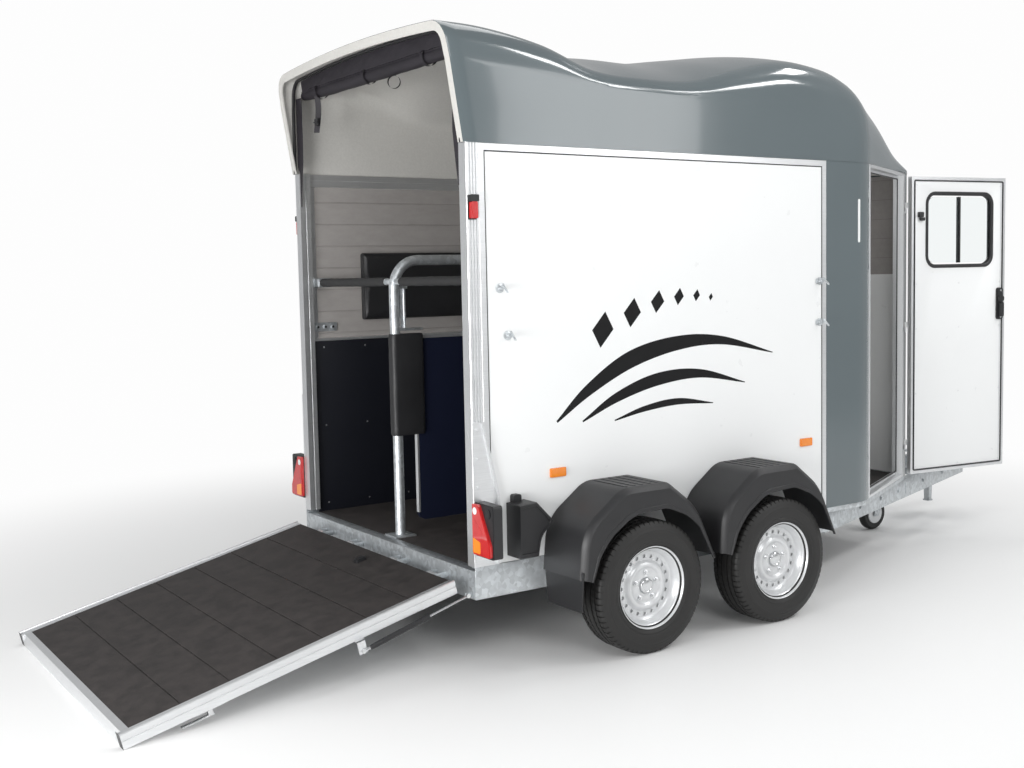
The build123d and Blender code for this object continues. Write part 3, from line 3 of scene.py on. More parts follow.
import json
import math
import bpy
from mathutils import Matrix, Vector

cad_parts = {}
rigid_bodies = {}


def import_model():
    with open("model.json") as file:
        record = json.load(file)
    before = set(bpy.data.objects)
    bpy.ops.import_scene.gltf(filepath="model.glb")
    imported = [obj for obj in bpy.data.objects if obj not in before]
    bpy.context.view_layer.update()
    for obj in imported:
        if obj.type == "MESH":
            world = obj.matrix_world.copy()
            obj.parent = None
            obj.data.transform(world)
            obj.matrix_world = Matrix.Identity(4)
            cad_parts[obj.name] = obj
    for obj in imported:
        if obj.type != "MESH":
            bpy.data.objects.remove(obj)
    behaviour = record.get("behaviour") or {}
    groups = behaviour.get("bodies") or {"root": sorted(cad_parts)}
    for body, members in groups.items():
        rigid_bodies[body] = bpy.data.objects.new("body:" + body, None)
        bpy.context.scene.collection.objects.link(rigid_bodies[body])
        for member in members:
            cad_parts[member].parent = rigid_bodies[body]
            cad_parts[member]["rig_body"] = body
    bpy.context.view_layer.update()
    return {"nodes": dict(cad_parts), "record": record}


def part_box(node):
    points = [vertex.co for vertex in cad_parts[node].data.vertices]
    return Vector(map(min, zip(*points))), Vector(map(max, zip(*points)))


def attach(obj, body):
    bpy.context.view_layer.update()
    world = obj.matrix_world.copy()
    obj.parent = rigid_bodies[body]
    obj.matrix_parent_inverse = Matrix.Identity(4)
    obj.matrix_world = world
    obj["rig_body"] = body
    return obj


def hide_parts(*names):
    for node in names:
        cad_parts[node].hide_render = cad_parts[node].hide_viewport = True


bl_info = {
    "name": "Horse trailer scene",
    "version": (1, 0, 0),
    "blender": (4, 5, 0),
    "location": "View3D > Sidebar > Trailer",
    "description": "Dresses the frame of a horse trailer with its finishes and fine pieces",
    "category": "Object",
}

import bmesh
import bpy
from bpy.props import FloatProperty, FloatVectorProperty, PointerProperty
from mathutils import Matrix, Vector

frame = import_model()
NODES = frame["nodes"]
SIDES = {"right": -1, "left": 1}

# Middle of the axles, from the wheels' own boxes
MID_X = sum(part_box(f"tyre_{axle}_left")[corner].x for axle in ("front", "rear") for corner in (0, 1)) / 4
BODY_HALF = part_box("wall_frame_left")[1].y


class TrailerColours(bpy.types.PropertyGroup):
    """Colours of the trailer's finishes."""

    moulding: FloatVectorProperty(name="Roof and nose", description="Glossy moulded shell",
                                  subtype="COLOR", size=3, default=(0.108, 0.134, 0.144))
    panel: FloatVectorProperty(name="Side panels", description="Coated side panels and door",
                               subtype="COLOR", size=3, default=(0.86, 0.87, 0.87))
    lining: FloatVectorProperty(name="Wall lining", description="Grey boards inside the horse space",
                                subtype="COLOR", size=3, default=(0.33, 0.312, 0.3))
    zinc: FloatVectorProperty(name="Zinc", description="Hot-dip galvanised steel",
                              subtype="COLOR", size=3, default=(0.6, 0.63, 0.65))
    aluminium: FloatVectorProperty(name="Aluminium", description="Anodised extrusions",
                                   subtype="COLOR", size=3, default=(0.78, 0.79, 0.8))
    mat: FloatVectorProperty(name="Ramp mat", description="Ribbed rubber of the ramp",
                             subtype="COLOR", size=3, default=(0.026, 0.022, 0.021))
    black: FloatVectorProperty(name="Black plastic", description="Mudguards, handle and window frame",
                               subtype="COLOR", size=3, default=(0.011, 0.011, 0.012))


class TrailerSizes(bpy.types.PropertyGroup):
    """Sizes of the camera."""

    camera_lens: FloatProperty(name="Lens", description="Focal length on a 36 mm sensor", unit="CAMERA",
                               default=42.71)


# Shader expressions

class Signal:
    """A shader socket on which Python's operators add Math nodes."""

    def __init__(self, finish, socket):
        self.finish = finish
        self.socket = socket

    def math(self, operation, *others):
        """One Math node of that operation on this socket and the others."""
        return self.finish.add("ShaderNodeMath", {"operation": operation}, dict(enumerate((self, *others))))

    def __add__(self, other):
        return self.math("ADD", other)

    def __mul__(self, other):
        return self.math("MULTIPLY", other)

    def __truediv__(self, other):
        return self.math("DIVIDE", other)

    def above(self, edge, soft):
        """0 below the edge and 1 above it, with a soft step."""
        return self.finish.add("ShaderNodeMapRange", {"interpolation_type": "SMOOTHSTEP"},
                               {"Value": self, "From Min": edge - soft, "From Max": edge + soft})

    def fraction(self):
        """The part of the value behind the point."""
        return self.math("FRACT")

    def between(self, low, high):
        """Spreads a 0 to 1 value from low to high."""
        return self * (high - low) + low


class Finish:
    """One material with a Principled shader, built from expressions."""

    def __init__(self, name):
        self.material = bpy.data.materials.new(name)
        self.material.use_nodes = True
        self.tree = self.material.node_tree
        self.shader = self.tree.nodes["Principled BSDF"]

    def feed(self, socket, value):
        """Links a signal to a socket, or sets the socket's own value."""
        if isinstance(value, Signal):
            self.tree.links.new(value.socket, socket)
        elif socket.type == "RGBA" and len(value) == 3:
            socket.default_value = (*value, 1.0)
        else:
            socket.default_value = value

    def add(self, kind, settings=None, inputs=None, output=0):
        """Adds a node: its settings first, then the values or links of its sockets."""
        node = self.tree.nodes.new(kind)
        for key, value in (settings or {}).items():
            setattr(node, key, value)
        for key, value in (inputs or {}).items():
            self.feed(node.inputs[key], value)
        return Signal(self, node.outputs[output])

    def place(self, stretch=(1, 1, 1)):
        """Object coordinates, stretched."""
        coordinates = self.add("ShaderNodeTexCoord", output=3)
        return self.add("ShaderNodeMapping", None, {"Vector": coordinates, "Scale": stretch})

    def axis(self, name):
        """One axis of the object coordinates."""
        coordinates = self.add("ShaderNodeTexCoord", output=3)
        return self.add("ShaderNodeSeparateXYZ", None, {0: coordinates}, "XYZ".index(name))

    def noise(self, scale, detail=3.0, stretch=(1, 1, 1), rough=0.55):
        """Soft noise from 0 to 1."""
        return self.add("ShaderNodeTexNoise", None,
                        {"Vector": self.place(stretch), "Scale": scale, "Detail": detail, "Roughness": rough})

    def cells(self, scale, output=0):
        """Cell noise: distance, or the cell's own random colour."""
        return self.add("ShaderNodeTexVoronoi", None, {"Vector": self.place(), "Scale": scale}, output)

    def mix(self, factor, first, second):
        """A colour between two colours."""
        return self.add("ShaderNodeMix", {"data_type": "RGBA"}, {0: factor, 6: first, 7: second}, 2)

    def bump(self, height, distance, strength=1.0):
        """A bump of a height signal, in metres."""
        normal = self.add("ShaderNodeBump", None, {"Height": height, "Distance": distance,
                                                   "Strength": strength})
        self.feed(self.shader.inputs["Normal"], normal)

    def surface(self, **sockets):
        """Feeds the shader's sockets, named with underscores."""
        for key, value in sockets.items():
            self.feed(self.shader.inputs[key.replace("_", " ").title().replace("Ior", "IOR")], value)
        return self.material


def tone(colour, factor):
    """A colour made darker or lighter."""
    return tuple(min(1.0, channel * factor) for channel in colour)


FINISHES = {}


def finish_named(name):
    """The material of that name, made once."""
    if name not in FINISHES:
        FINISHES[name] = MAKERS[name](bpy.context.scene.trailer_colours)
    return FINISHES[name]


def make_moulding(colours):
    """Glossy gel coat with a faint orange peel."""
    f = Finish("grey_moulding")
    cloud = f.noise(1.4, 2.0)
    f.bump(f.noise(34.0, 2.0), 0.00025, 0.35)
    return f.surface(base_color=f.mix(cloud, tone(colours.moulding, 0.92), tone(colours.moulding, 1.1)),
                     roughness=f.noise(3.0, 3.0).between(0.1, 0.2), coat_weight=0.6, coat_roughness=0.05)


def make_panel(colours):
    """White coated panel, very slightly wavy."""
    f = Finish("white_panel")
    cloud = f.noise(2.2, 3.0)
    f.bump(f.noise(6.0, 1.0, (1, 1, 0.3)), 0.0006, 0.25)
    return f.surface(base_color=f.mix(cloud, tone(colours.panel, 0.97), colours.panel[:]),
                     roughness=f.noise(9.0, 3.0).between(0.24, 0.36))


def make_aluminium(colours):
    """Anodised aluminium with fine drawing lines."""
    f = Finish("frame_aluminium")
    lines = f.noise(160.0, 2.0, (0.05, 1, 1))
    f.bump(lines, 0.0002, 0.2)
    return f.surface(base_color=f.mix(lines, tone(colours.aluminium, 0.9), tone(colours.aluminium, 1.08)),
                     metallic=0.85, roughness=f.noise(12.0, 3.0).between(0.26, 0.42))


def make_zinc(colours):
    """Hot-dip zinc with spangle and dull patches."""
    f = Finish("galvanised")
    spangle = f.cells(55.0, output=1)
    grain = f.add("ShaderNodeSeparateColor", None, {0: spangle})
    patch = f.noise(9.0, 4.0)
    light = f.mix(grain, tone(colours.zinc, 0.78), tone(colours.zinc, 1.12))
    f.bump(f.noise(60.0, 3.0), 0.0004, 0.3)
    return f.surface(base_color=f.mix(patch.above(0.6, 0.16), light, tone(colours.zinc, 0.8)),
                     metallic=0.75, roughness=(patch * 0.25 + grain * 0.15).between(0.3, 0.75))


def make_lining(colours):
    """Grey coated boards: horizontal joints and a fine mottled print."""
    f = Finish("wall_lining")
    streak = f.noise(26.0, 5.0, (0.35, 1, 1), 0.7)
    joint = (f.axis("Z") / 0.1145).fraction()
    groove = joint.above(0.018, 0.012)
    colour = f.mix(streak, tone(colours.lining, 0.82), tone(colours.lining, 1.18))
    f.bump(groove + streak * 0.05, 0.0008, 0.6)
    return f.surface(base_color=f.mix(groove, tone(colours.lining, 0.62), colour), roughness=0.52)


def make_board(name, fine, first, second, low):
    """Dark coated board with a faint blue sheen."""
    f = Finish(name)
    speck = f.noise(fine, 2.0)
    f.bump(speck, 0.0003, 0.25)
    return f.surface(base_color=f.mix(speck, first, second), specular_ior_level=0.25,
                     roughness=f.noise(5.0, 3.0).between(low, 0.5))


def make_black_board(colours):
    """Kick boards."""
    return make_board("black_board", 300.0, (0.004, 0.0045, 0.007), (0.01, 0.011, 0.016), 0.32)


def make_blue_board(colours):
    """Blue-black board of the partition."""
    return make_board("blue_board", 260.0, (0.006, 0.008, 0.02), (0.012, 0.015, 0.034), 0.34)


def make_rubber(colours):
    """Ribbed brown-black rubber with dust in its ribs."""
    f = Finish("floor_rubber")
    dust = f.noise(14.0, 5.0, (1, 1, 1), 0.65)
    rib = (f.axis("Y") / 0.008).fraction()
    ridge = rib.above(0.5, 0.2)
    f.bump(ridge + dust * 0.3, 0.0012, 0.7)
    colour = f.mix(dust.above(0.5, 0.25), tone(colours.mat, 0.75), tone(colours.mat, 1.7))
    return f.surface(base_color=colour, roughness=dust.between(0.55, 0.8))


def make_black_plastic(colours):
    """Grained black moulded plastic."""
    f = Finish("black_plastic")
    grain = f.noise(420.0, 2.0)
    f.bump(grain, 0.0005, 0.35)
    return f.surface(base_color=f.mix(f.noise(7.0, 3.0), colours.black[:], tone(colours.black, 1.9)),
                     roughness=grain.between(0.36, 0.52))


def make_tyre(colours):
    """Tyre rubber, a little dusty."""
    f = Finish("tyre_rubber")
    dust = f.noise(30.0, 4.0)
    f.bump(f.noise(500.0, 2.0), 0.0003, 0.3)
    return f.surface(base_color=f.mix(dust, (0.008, 0.008, 0.008), (0.02, 0.019, 0.018)),
                     roughness=dust.between(0.45, 0.66))


def make_wheel(colours):
    """Silver wheel enamel."""
    f = Finish("wheel_silver")
    fleck = f.noise(900.0, 1.0)
    return f.surface(base_color=f.mix(fleck, (0.62, 0.63, 0.64), (0.78, 0.79, 0.8)), metallic=0.35,
                     roughness=f.noise(20.0, 3.0).between(0.26, 0.36), coat_weight=0.3)


def make_cover(colours):
    """Black coated fabric with a fine leather grain."""
    f = Finish("black_cover")
    grain = f.cells(260.0)
    f.bump(grain, 0.0004, 0.5)
    return f.surface(base_color=f.mix(f.noise(5.0, 3.0), (0.008, 0.008, 0.009), (0.02, 0.02, 0.022)),
                     roughness=grain.between(0.4, 0.6))


def make_foam(colours):
    """Dark grey foam sleeve."""
    f = Finish("bar_foam")
    cell = f.noise(220.0, 3.0)
    f.bump(cell, 0.0006, 0.5)
    return f.surface(base_color=f.mix(cell, (0.012, 0.012, 0.0125), (0.03, 0.03, 0.031)), roughness=0.72)


def make_lens(name, prisms, first, second, bump=0.0005, mottle=60.0, **sockets):
    """A moulded lens with fine prisms."""
    f = Finish(name)
    f.bump(f.cells(prisms), bump, 0.5)
    return f.surface(base_color=f.mix(f.noise(mottle, 2.0), first, second), **sockets)


def make_red_lens(colours):
    """Red lens of the lamps."""
    return make_lens("red_lens", 240.0, (0.42, 0.006, 0.008), (0.6, 0.02, 0.02), mottle=40.0,
                     roughness=0.12, coat_weight=0.8)


def make_amber_lens(colours):
    """Amber reflector."""
    return make_lens("amber_lens", 300.0, (0.8, 0.2, 0.012), (0.92, 0.3, 0.02), 0.0004,
                     roughness=0.14, coat_weight=0.8)


def make_roof_lining_and_rim_reflection(colours):
    """Pale grey lining under the roof, with a fine mottled print; on the hood's rear rim the same pale finish
    is a painted reflection of the bright surround.
    """
    f = Finish("roof_lining")
    mottle = f.noise(90.0, 4.0, (1, 1, 1), 0.7)
    f.bump(mottle, 0.0003, 0.3)
    return f.surface(base_color=f.mix(mottle, (0.5, 0.49, 0.465), (0.66, 0.65, 0.62)), roughness=0.6)


def make_white_lens(colours):
    """White round reflector."""
    return make_lens("white_lens", 260.0, (0.7, 0.71, 0.71), (0.88, 0.88, 0.88), roughness=0.15,
                     coat_weight=0.7)


def make_curtain_cloth(colours):
    """Black coated cloth with a faint purple cast and a fine weave."""
    f = Finish("curtain_cloth")
    weave = f.noise(700.0, 1.0)
    fold = f.noise(9.0, 3.0, (1, 0.3, 1))
    f.bump(fold + weave * 0.15, 0.002, 0.5)
    return f.surface(base_color=f.mix(fold, (0.008, 0.0065, 0.0095), (0.022, 0.018, 0.025)),
                     roughness=weave.between(0.55, 0.72))


def make_film(colours):
    """Black cut film, a little glossy."""
    f = Finish("black_film")
    f.bump(f.noise(80.0, 2.0), 0.0001, 0.2)
    return f.surface(base_color=f.mix(f.noise(6.0, 2.0), (0.006, 0.006, 0.006), (0.013, 0.013, 0.014)),
                     specular_ior_level=0.25, roughness=0.22)


def make_bright_zinc(colours):
    """Bright plated steel of caps, bolts and screws."""
    f = Finish("bright_zinc")
    wear = f.noise(120.0, 3.0)
    f.bump(wear, 0.0001, 0.2)
    return f.surface(base_color=f.mix(wear, (0.62, 0.63, 0.64), (0.8, 0.81, 0.82)), metallic=1.0,
                     roughness=wear.between(0.12, 0.26))


def make_glass(colours):
    """Clear acrylic pane."""
    f = Finish("window_glass")
    f.bump(f.noise(3.0, 1.0), 0.0006, 0.1)
    return f.surface(base_color=(0.92, 0.95, 0.95), roughness=0.03, transmission_weight=1.0, ior=1.3)


MAKERS = {"grey_moulding": make_moulding, "white_panel": make_panel, "frame_alu": make_aluminium,
          "galvanised": make_zinc, "lining": make_lining, "black_board": make_black_board,
          "floor_rubber": make_rubber, "black_plastic": make_black_plastic, "tyre_rubber": make_tyre,
          "wheel_silver": make_wheel, "black_cover": make_cover, "bar_foam": make_foam,
          "roof_lining": make_roof_lining_and_rim_reflection, "red_lens": make_red_lens, "amber_lens": make_amber_lens,
          "window_glass": make_glass, "black_film": make_film, "bright_zinc": make_bright_zinc,
          "blue_board": make_blue_board, "white_lens": make_white_lens, "curtain_cloth": make_curtain_cloth}

# Mesh shapes

def rounded(points, radii, steps=6, closed=False):
    """A chain of points with its corners turned into arcs."""
    points = [Vector(point) for point in points]
    chain = []
    for place, corner in enumerate(points):
        radius = radii[place] if isinstance(radii, (list, tuple)) else radii
        inner = closed or 0 < place < len(points) - 1
        if not inner or radius <= 0:
            chain.append(corner)
            continue
        back = points[place - 1] - corner
        ahead = points[(place + 1) % len(points)] - corner
        half = back.angle(ahead) / 2
        reach = min(radius / math.tan(half), 0.49 * back.length, 0.49 * ahead.length)
        radius = reach * math.tan(half)
        centre = corner + (back.normalized() + ahead.normalized()).normalized() * radius / math.sin(half)
        start = corner + back.normalized() * reach - centre
        end = corner + ahead.normalized() * reach - centre
        turn = math.pi - 2 * half
        for step in range(steps + 1):
            near, far = math.sin((1 - step / steps) * turn), math.sin(step / steps * turn)
            chain.append(centre + (start * near + end * far) / math.sin(turn))
    return chain


def join_rows(bm, rows, closed=False, caps=False, finish=0):
    """Joins rows of vertices with quads, each row closed on itself or not, and caps the two ends."""
    faces = []
    for low, high in zip(rows, rows[1:]):
        count = len(low)
        for i in range(count if closed else count - 1):
            j = (i + 1) % count
            faces.append(bm.faces.new((low[i], low[j], high[j], high[i])))
    if caps:
        faces.append(bm.faces.new(list(reversed(rows[0]))))
        faces.append(bm.faces.new(rows[-1]))
    for face in faces:
        face.material_index = finish
    return faces


def slab(bm, outline, place, low, high, finish=0):
    """A closed outline carried from low to high; place turns (u, v, height) into a point."""
    rows = [[bm.verts.new(place(u, v, height)) for u, v in outline] for height in (low, high)]
    return join_rows(bm, rows, closed=True, caps=True, finish=finish)


def on_x(u, v, height):
    """An outline in Y and Z, carried along X."""
    return Vector((height, u, v))


def on_y(u, v, height):
    """An outline in X and Z, carried along Y."""
    return Vector((u, height, v))


def on_z(u, v, height):
    """An outline in X and Y, carried along Z."""
    return Vector((u, v, height))


def box_outline(u0, u1, v0, v1, radius=0.0, steps=4):
    """A rectangle with rounded corners."""
    return rounded([(u0, v0), (u1, v0), (u1, v1), (u0, v1)], radius, steps, closed=True)


def block(bm, x0, x1, y0, y1, z0, z1, finish=0):
    """A block between two corners."""
    return slab(bm, box_outline(x0, x1, y0, y1), on_z, z0, z1, finish)


def sweep(bm, path, profile, side=None, caps=True, finish=0):
    """Carries a closed profile along a path, kept square to it."""
    path = [Vector(point) for point in path]
    across = Vector(side) if side else None
    rows = []
    for i, point in enumerate(path):
        ahead = path[min(i + 1, len(path) - 1)] - point
        behind = point - path[max(i - 1, 0)]
        along = (ahead.normalized() + behind.normalized()).normalized()
        across = along.orthogonal() if across is None else across
        across = (across - along * across.dot(along)).normalized()
        up = along.cross(across)
        rows.append([bm.verts.new(point + across * u + up * v) for u, v in profile])
    return join_rows(bm, rows, closed=True, caps=caps, finish=finish)


def circle(radius, steps=16):
    """Points round a circle."""
    return [(radius * math.cos(math.tau * i / steps), radius * math.sin(math.tau * i / steps))
            for i in range(steps)]


def disc(u, v, radius, steps=16):
    """Points round a circle about (u, v)."""
    return [(u + a, v + b) for a, b in circle(radius, steps)]


def tube(bm, path, radius, steps=16, finish=0):
    """A round bar along a path."""
    return sweep(bm, path, circle(radius, steps), finish=finish)


def turned(bm, profile, place, steps):
    """Rings of vertices of a profile of (radius, height); place turns (u, v, height) into a point."""
    return [[bm.verts.new(place(u, v, height)) for u, v in circle(radius, steps)] for radius,
            height in profile]


def lathe(bm, profile, place, steps=48, finish=0):
    """Turns a profile of (radius, height) round, with both ends closed."""
    return join_rows(bm, turned(bm, profile, place, steps), closed=True, caps=True, finish=finish)


def bolt(bm, point, axis, radius=0.007, height=0.005, finish=0):
    """A hexagon bolt head with a washer under it, standing out along an axis."""
    axis = Vector(axis).normalized()
    turn = axis.to_track_quat("Z", "Y").to_matrix()
    origin = Vector(point)

    def place(u, v, h):
        return origin + turn @ Vector((u, v, h))

    slab(bm, circle(radius * 1.45, 16), place, -0.001, height * 0.3, finish)
    slab(bm, circle(radius, 6), place, height * 0.2, height, finish)
    slab(bm, circle(radius * 0.7, 6), place, height * 0.9, height * 1.15, finish)


def on_wall(bm, side, outline, low, high, finish=0):
    """A slab on the body's side, from low to high off the wall's face."""
    return slab(bm, outline, on_y, side * (BODY_HALF + low), side * (BODY_HALF + high), finish)


def between_stations(stations, place):
    """Smooth values between the rows of a table whose first column is the place."""
    last = len(stations) - 2
    index = next((i for i in range(last + 1) if place < stations[i + 1][0]), last)
    low, high = stations[index], stations[index + 1]
    before = stations[max(index - 1, 0)]
    after = stations[min(index + 2, len(stations) - 1)]
    span = high[0] - low[0]
    t = min(max((place - low[0]) / span, 0.0), 1.0)
    values = []
    for column in range(1, len(low)):
        slope_low = (high[column] - before[column]) / max(high[0] - before[0], 1e-6) * span
        slope_high = (after[column] - low[column]) / max(after[0] - low[0], 1e-6) * span
        values.append((2 * t ** 3 - 3 * t ** 2 + 1) * low[column] + (t ** 3 - 2 * t ** 2 + t) * slope_low
                      + (3 * t ** 2 - 2 * t ** 3) * high[column] + (t ** 3 - t ** 2) * slope_high)
    return values


# Pieces

SHARP = math.radians(28)


def linked(name, data):
    """A new object in the scene."""
    made = bpy.data.objects.new(name, data)
    bpy.context.scene.collection.objects.link(made)
    return made


def new_piece(name, bm, finish, replaces=(), smooth=35.0, body="trailer", more=(), outward=True):
    """Makes an object from a bmesh and hangs it on its body."""
    if outward:
        bmesh.ops.recalc_face_normals(bm, faces=bm.faces)
    mesh = bpy.data.meshes.new(name)
    bm.to_mesh(mesh)
    bm.free()
    mesh.polygons.foreach_set("use_smooth", [True] * len(mesh.polygons))
    mesh.set_sharp_from_angle(angle=math.radians(smooth))
    piece = linked(name, mesh)
    for each in (finish, *more):
        mesh.materials.append(finish_named(each))
    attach(piece, body)
    if replaces:
        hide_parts(*replaces)
    return piece


def node_body(node):
    """Name of the body that a CAD node belongs to."""
    return NODES[node]["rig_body"]


def node_bmesh(node):
    """A merged copy of a CAD node's mesh with its flat faces joined."""
    bm = bmesh.new()
    bm.from_mesh(NODES[node].data)
    bmesh.ops.remove_doubles(bm, verts=bm.verts, dist=1e-5)
    bmesh.ops.dissolve_limit(bm, angle_limit=math.radians(1.0), verts=bm.verts, edges=bm.edges)
    return bm


def round_edges(bm, width, segments=2):
    """Bevels every sharp edge."""
    sharp = [e for e in bm.edges if len(e.link_faces) == 2 and e.calc_face_angle(0) > SHARP]
    bmesh.ops.bevel(bm, geom=sharp, offset=width, offset_type="OFFSET", segments=segments, profile=0.5,
                    affect="EDGES", clamp_overlap=True, material=-1)


def dressed_node(node, finish, width=0.0015):
    """A CAD node's shape with its edges rounded, in the node's place."""
    bm = node_bmesh(node)
    round_edges(bm, width)
    return new_piece(f"{node}_skin", bm, finish, replaces=[node], body=node_body(node), outward=False)


SLOTS = {entry["node"]: entry["material_slot"] for entry in frame["record"]["subparts"]}


class TRAILER_OT_skins(bpy.types.Operator):
    """Gives each of the frame's own pieces its finish"""

    bl_idname = "trailer.skins"
    bl_label = "Skins"

    def execute(self, context):
        for node, finish in SLOTS.items():
            NODES[node].data.materials.clear()
            NODES[node].data.materials.append(finish_named(finish))
        return {"FINISHED"}


# Roof and nose cap

ROOF_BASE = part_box("wall_frame_left")[1].z
ROOF_HALF = BODY_HALF + 0.003
ROOF_SKIN = 0.018
ROOF_LEAN = math.radians(6)
HOOD_LEAN = math.tan(math.radians(9.1))
HOOD_FOOT_X = -1.149
NOSE_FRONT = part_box("front_shell")[1].x - MID_X
NOSE_CORNER = 1.298
NOSE_FACE = math.atan2(0.417, 0.882)
CORNER_ROUND = 0.3
FRONT_ROUND = 0.09
FRONT_HALF = 0.426
# columns: place from the axles' middle, crease, top of the leaning side, crown, slope at its edge
ROOF_STATIONS = [
    (-1.29, 2.548, 2.606, 2.724, 4.0), (-1.0, 2.522, 2.594, 2.722, 4.5), (-0.7, 2.495, 2.545, 2.698, 8.0),
    (-0.45, 2.468, 2.48, 2.706, 22.0), (-0.15, 2.456, 2.466, 2.724, 27.0), (0.15, 2.458, 2.47, 2.722, 25.0),
    (0.45, 2.478, 2.512, 2.759, 20.0), (0.8, 2.483, 2.548, 2.797, 15.5), (1.1, 2.45, 2.515, 2.764, 13.0),
    (1.24, 2.395, 2.465, 2.724, 13.0), (1.4, 2.335, 2.385, 2.663, 15.0), (1.64, 2.28, 2.312, 2.58, 19.0),
    (1.9, 2.22, 2.236, 2.38, 15.0), (2.172, 2.206, 2.208, 2.216, 1.0),
]


def nose_half(place):
    """Half width of the body's plan at a place from the axles' middle, with its corners rounded."""
    turn_start = NOSE_CORNER - CORNER_ROUND * math.tan(NOSE_FACE / 2)
    if place <= turn_start:
        return ROOF_HALF
    if place <= turn_start + CORNER_ROUND * math.sin(NOSE_FACE):
        return ROOF_HALF - CORNER_ROUND + math.sqrt(CORNER_ROUND ** 2 - (place - turn_start) ** 2)
    tangent = FRONT_ROUND * math.tan((math.pi / 2 - NOSE_FACE) / 2)
    if place <= NOSE_FRONT - tangent * math.cos(NOSE_FACE):
        return ROOF_HALF - (place - NOSE_CORNER) * math.tan(NOSE_FACE)
    ahead = min(place - (NOSE_FRONT - FRONT_ROUND), FRONT_ROUND)
    return FRONT_HALF - tangent + math.sqrt(FRONT_ROUND ** 2 - ahead ** 2)


def roof_row(place, inset):
    """Points of one cross-section (y, z) from the right wall over the crown to the left wall."""
    crease, side_top, crown, slope = between_stations(ROOF_STATIONS, place)
    slope = math.radians(slope)
    crown -= inset
    half = nose_half(place) - inset
    edge = half - (side_top - crease) * math.tan(ROOF_LEAN)
    rise = math.tan(slope / 2)
    radius = ((crown - side_top - edge * rise)
              / (math.cos(slope) - math.sin(ROOF_LEAN) - (math.cos(ROOF_LEAN) - math.sin(slope)) * rise))
    centre = (edge - radius * math.cos(ROOF_LEAN), side_top - radius * math.sin(ROOF_LEAN))
    points = [(half, ROOF_BASE), (half, ROOF_BASE + 0.5 * (crease - ROOF_BASE)), (half, crease - 0.01),
              (half - 0.0006, crease), (half - 0.0016, crease + 0.01)]
    for step in range(9):
        angle = ROOF_LEAN + (math.pi / 2 - slope - ROOF_LEAN) * step / 8
        points.append((centre[0] + radius * math.cos(angle), centre[1] + radius * math.sin(angle)))
    end = points[-1]
    wide = end[0] / math.sin(slope)
    for step in range(1, 12):
        y = end[0] * (1 - step / 12)
        points.append((y, crown - wide + math.sqrt(wide * wide - y * y)))
    row = [(-y, z) for y, z in points] + [(0.0, crown)] + list(reversed(points))
    return row


def hood_place(z):
    """Rear edge of the hood at a height, from the axles' middle."""
    return HOOD_FOOT_X - (z - ROOF_BASE) * HOOD_LEAN


def hood_row(inset, forward):
    """A row of points (x, y, z) in the hood's leaning rear plane."""
    row = []
    for index in range(len(roof_row(0.0, 0.0))):
        place = -1.2
        for _ in range(4):
            y, z = roof_row(place, inset)[index]
            place = hood_place(z) + forward
        row.append(Vector((MID_X + place, y, z)))
    return row


class TRAILER_OT_roof(bpy.types.Operator):
    """Models the wavy moulded roof with its hood lip, its nose cap and its inner lining; the lip's rim band
    is pale as a painted reflection
    """

    bl_idname = "trailer.roof"
    bl_label = "Roof"

    places = [0.02 + 0.98 * i / 79 for i in range(80)]

    def skin_rows(self, bm, inset, forward, front):
        """Rows of vertices from the hood's edge to the nose."""
        start = hood_row(inset, forward)
        rows = [[bm.verts.new(point) for point in start]]
        for t in self.places:
            row = []
            for index, point in enumerate(start):
                place = point.x - MID_X + (front - point.x + MID_X) * t
                y, z = roof_row(place, inset)[index]
                row.append(bm.verts.new((MID_X + place, y, z)))
            rows.append(row)
        return rows

    def execute(self, context):
        bm = bmesh.new()
        outer = self.skin_rows(bm, 0.0, 0.004, NOSE_FRONT - 0.004)
        nose = [bm.verts.new((MID_X + NOSE_FRONT, v.co.y * 0.99, ROOF_BASE + (v.co.z - ROOF_BASE) * 0.4))
                for v in outer[-1]]
        join_rows(bm, [*outer, nose])
        base = [bm.verts.new((MID_X + NOSE_FRONT, v.co.y, ROOF_BASE)) for v in nose]
        join_rows(bm, [nose, base])
        edge = [bm.verts.new(point) for point in hood_row(0.003, 0.0)]
        lip = [bm.verts.new(point) for point in hood_row(0.042, 0.0)]
        back = [bm.verts.new(point) for point in hood_row(0.042, 0.006)]
        inner = self.skin_rows(bm, ROOF_SKIN, 0.01, NOSE_FRONT - 0.03)
        join_rows(bm, [outer[0], edge])
        # The rim band round the hood's rear edge takes the pale lining finish: a painted reflection of the
        # bright surround on the glossy moulding. The inside of the roof takes the same finish as its real
        # pale lining.
        join_rows(bm, [edge, lip, back, inner[0]], finish=1)
        join_rows(bm, inner, finish=1)
        # The two bottom edges on the walls and the front edge close the shell
        for end in (0, -1):
            low = [row[end] for row in outer]
            high = [row[end] for row in inner]
            join_rows(bm, [low, high])
        join_rows(bm, [inner[-1], outer[-1]])
        bmesh.ops.remove_doubles(bm, verts=bm.verts, dist=1e-6)
        new_piece("roof_skin", bm, "grey_moulding", replaces=["roof_shell"], smooth=40,
                  more=["roof_lining"])
        return {"FINISHED"}


# Mudguards: an arch with a flat top, whose lip ends on a circle round its wheel

GUARD_INNER = BODY_HALF + 0.0004
GUARD_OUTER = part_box("mudguards_left")[1].y
GUARD_END = 0.386
GUARD_SKIN = 0.005
GUARD_SHOULDER = 0.024
LIP_CIRCLE = 0.35
# columns: place from the axle, height and rounding of the arch's corners
GUARD_ARCH = [(-0.392, GUARD_END, 0.0), (-0.372, 0.6, 0.2), (-0.165, 0.748, 0.14),
              (0.095, 0.748, 0.06), (0.262, 0.62, 0.3), (0.372, GUARD_END, 0.0)]
FLAP_BOTTOM = 0.246
GUARD_RIBS = [-0.13, -0.087, -0.044, -0.001, 0.042]


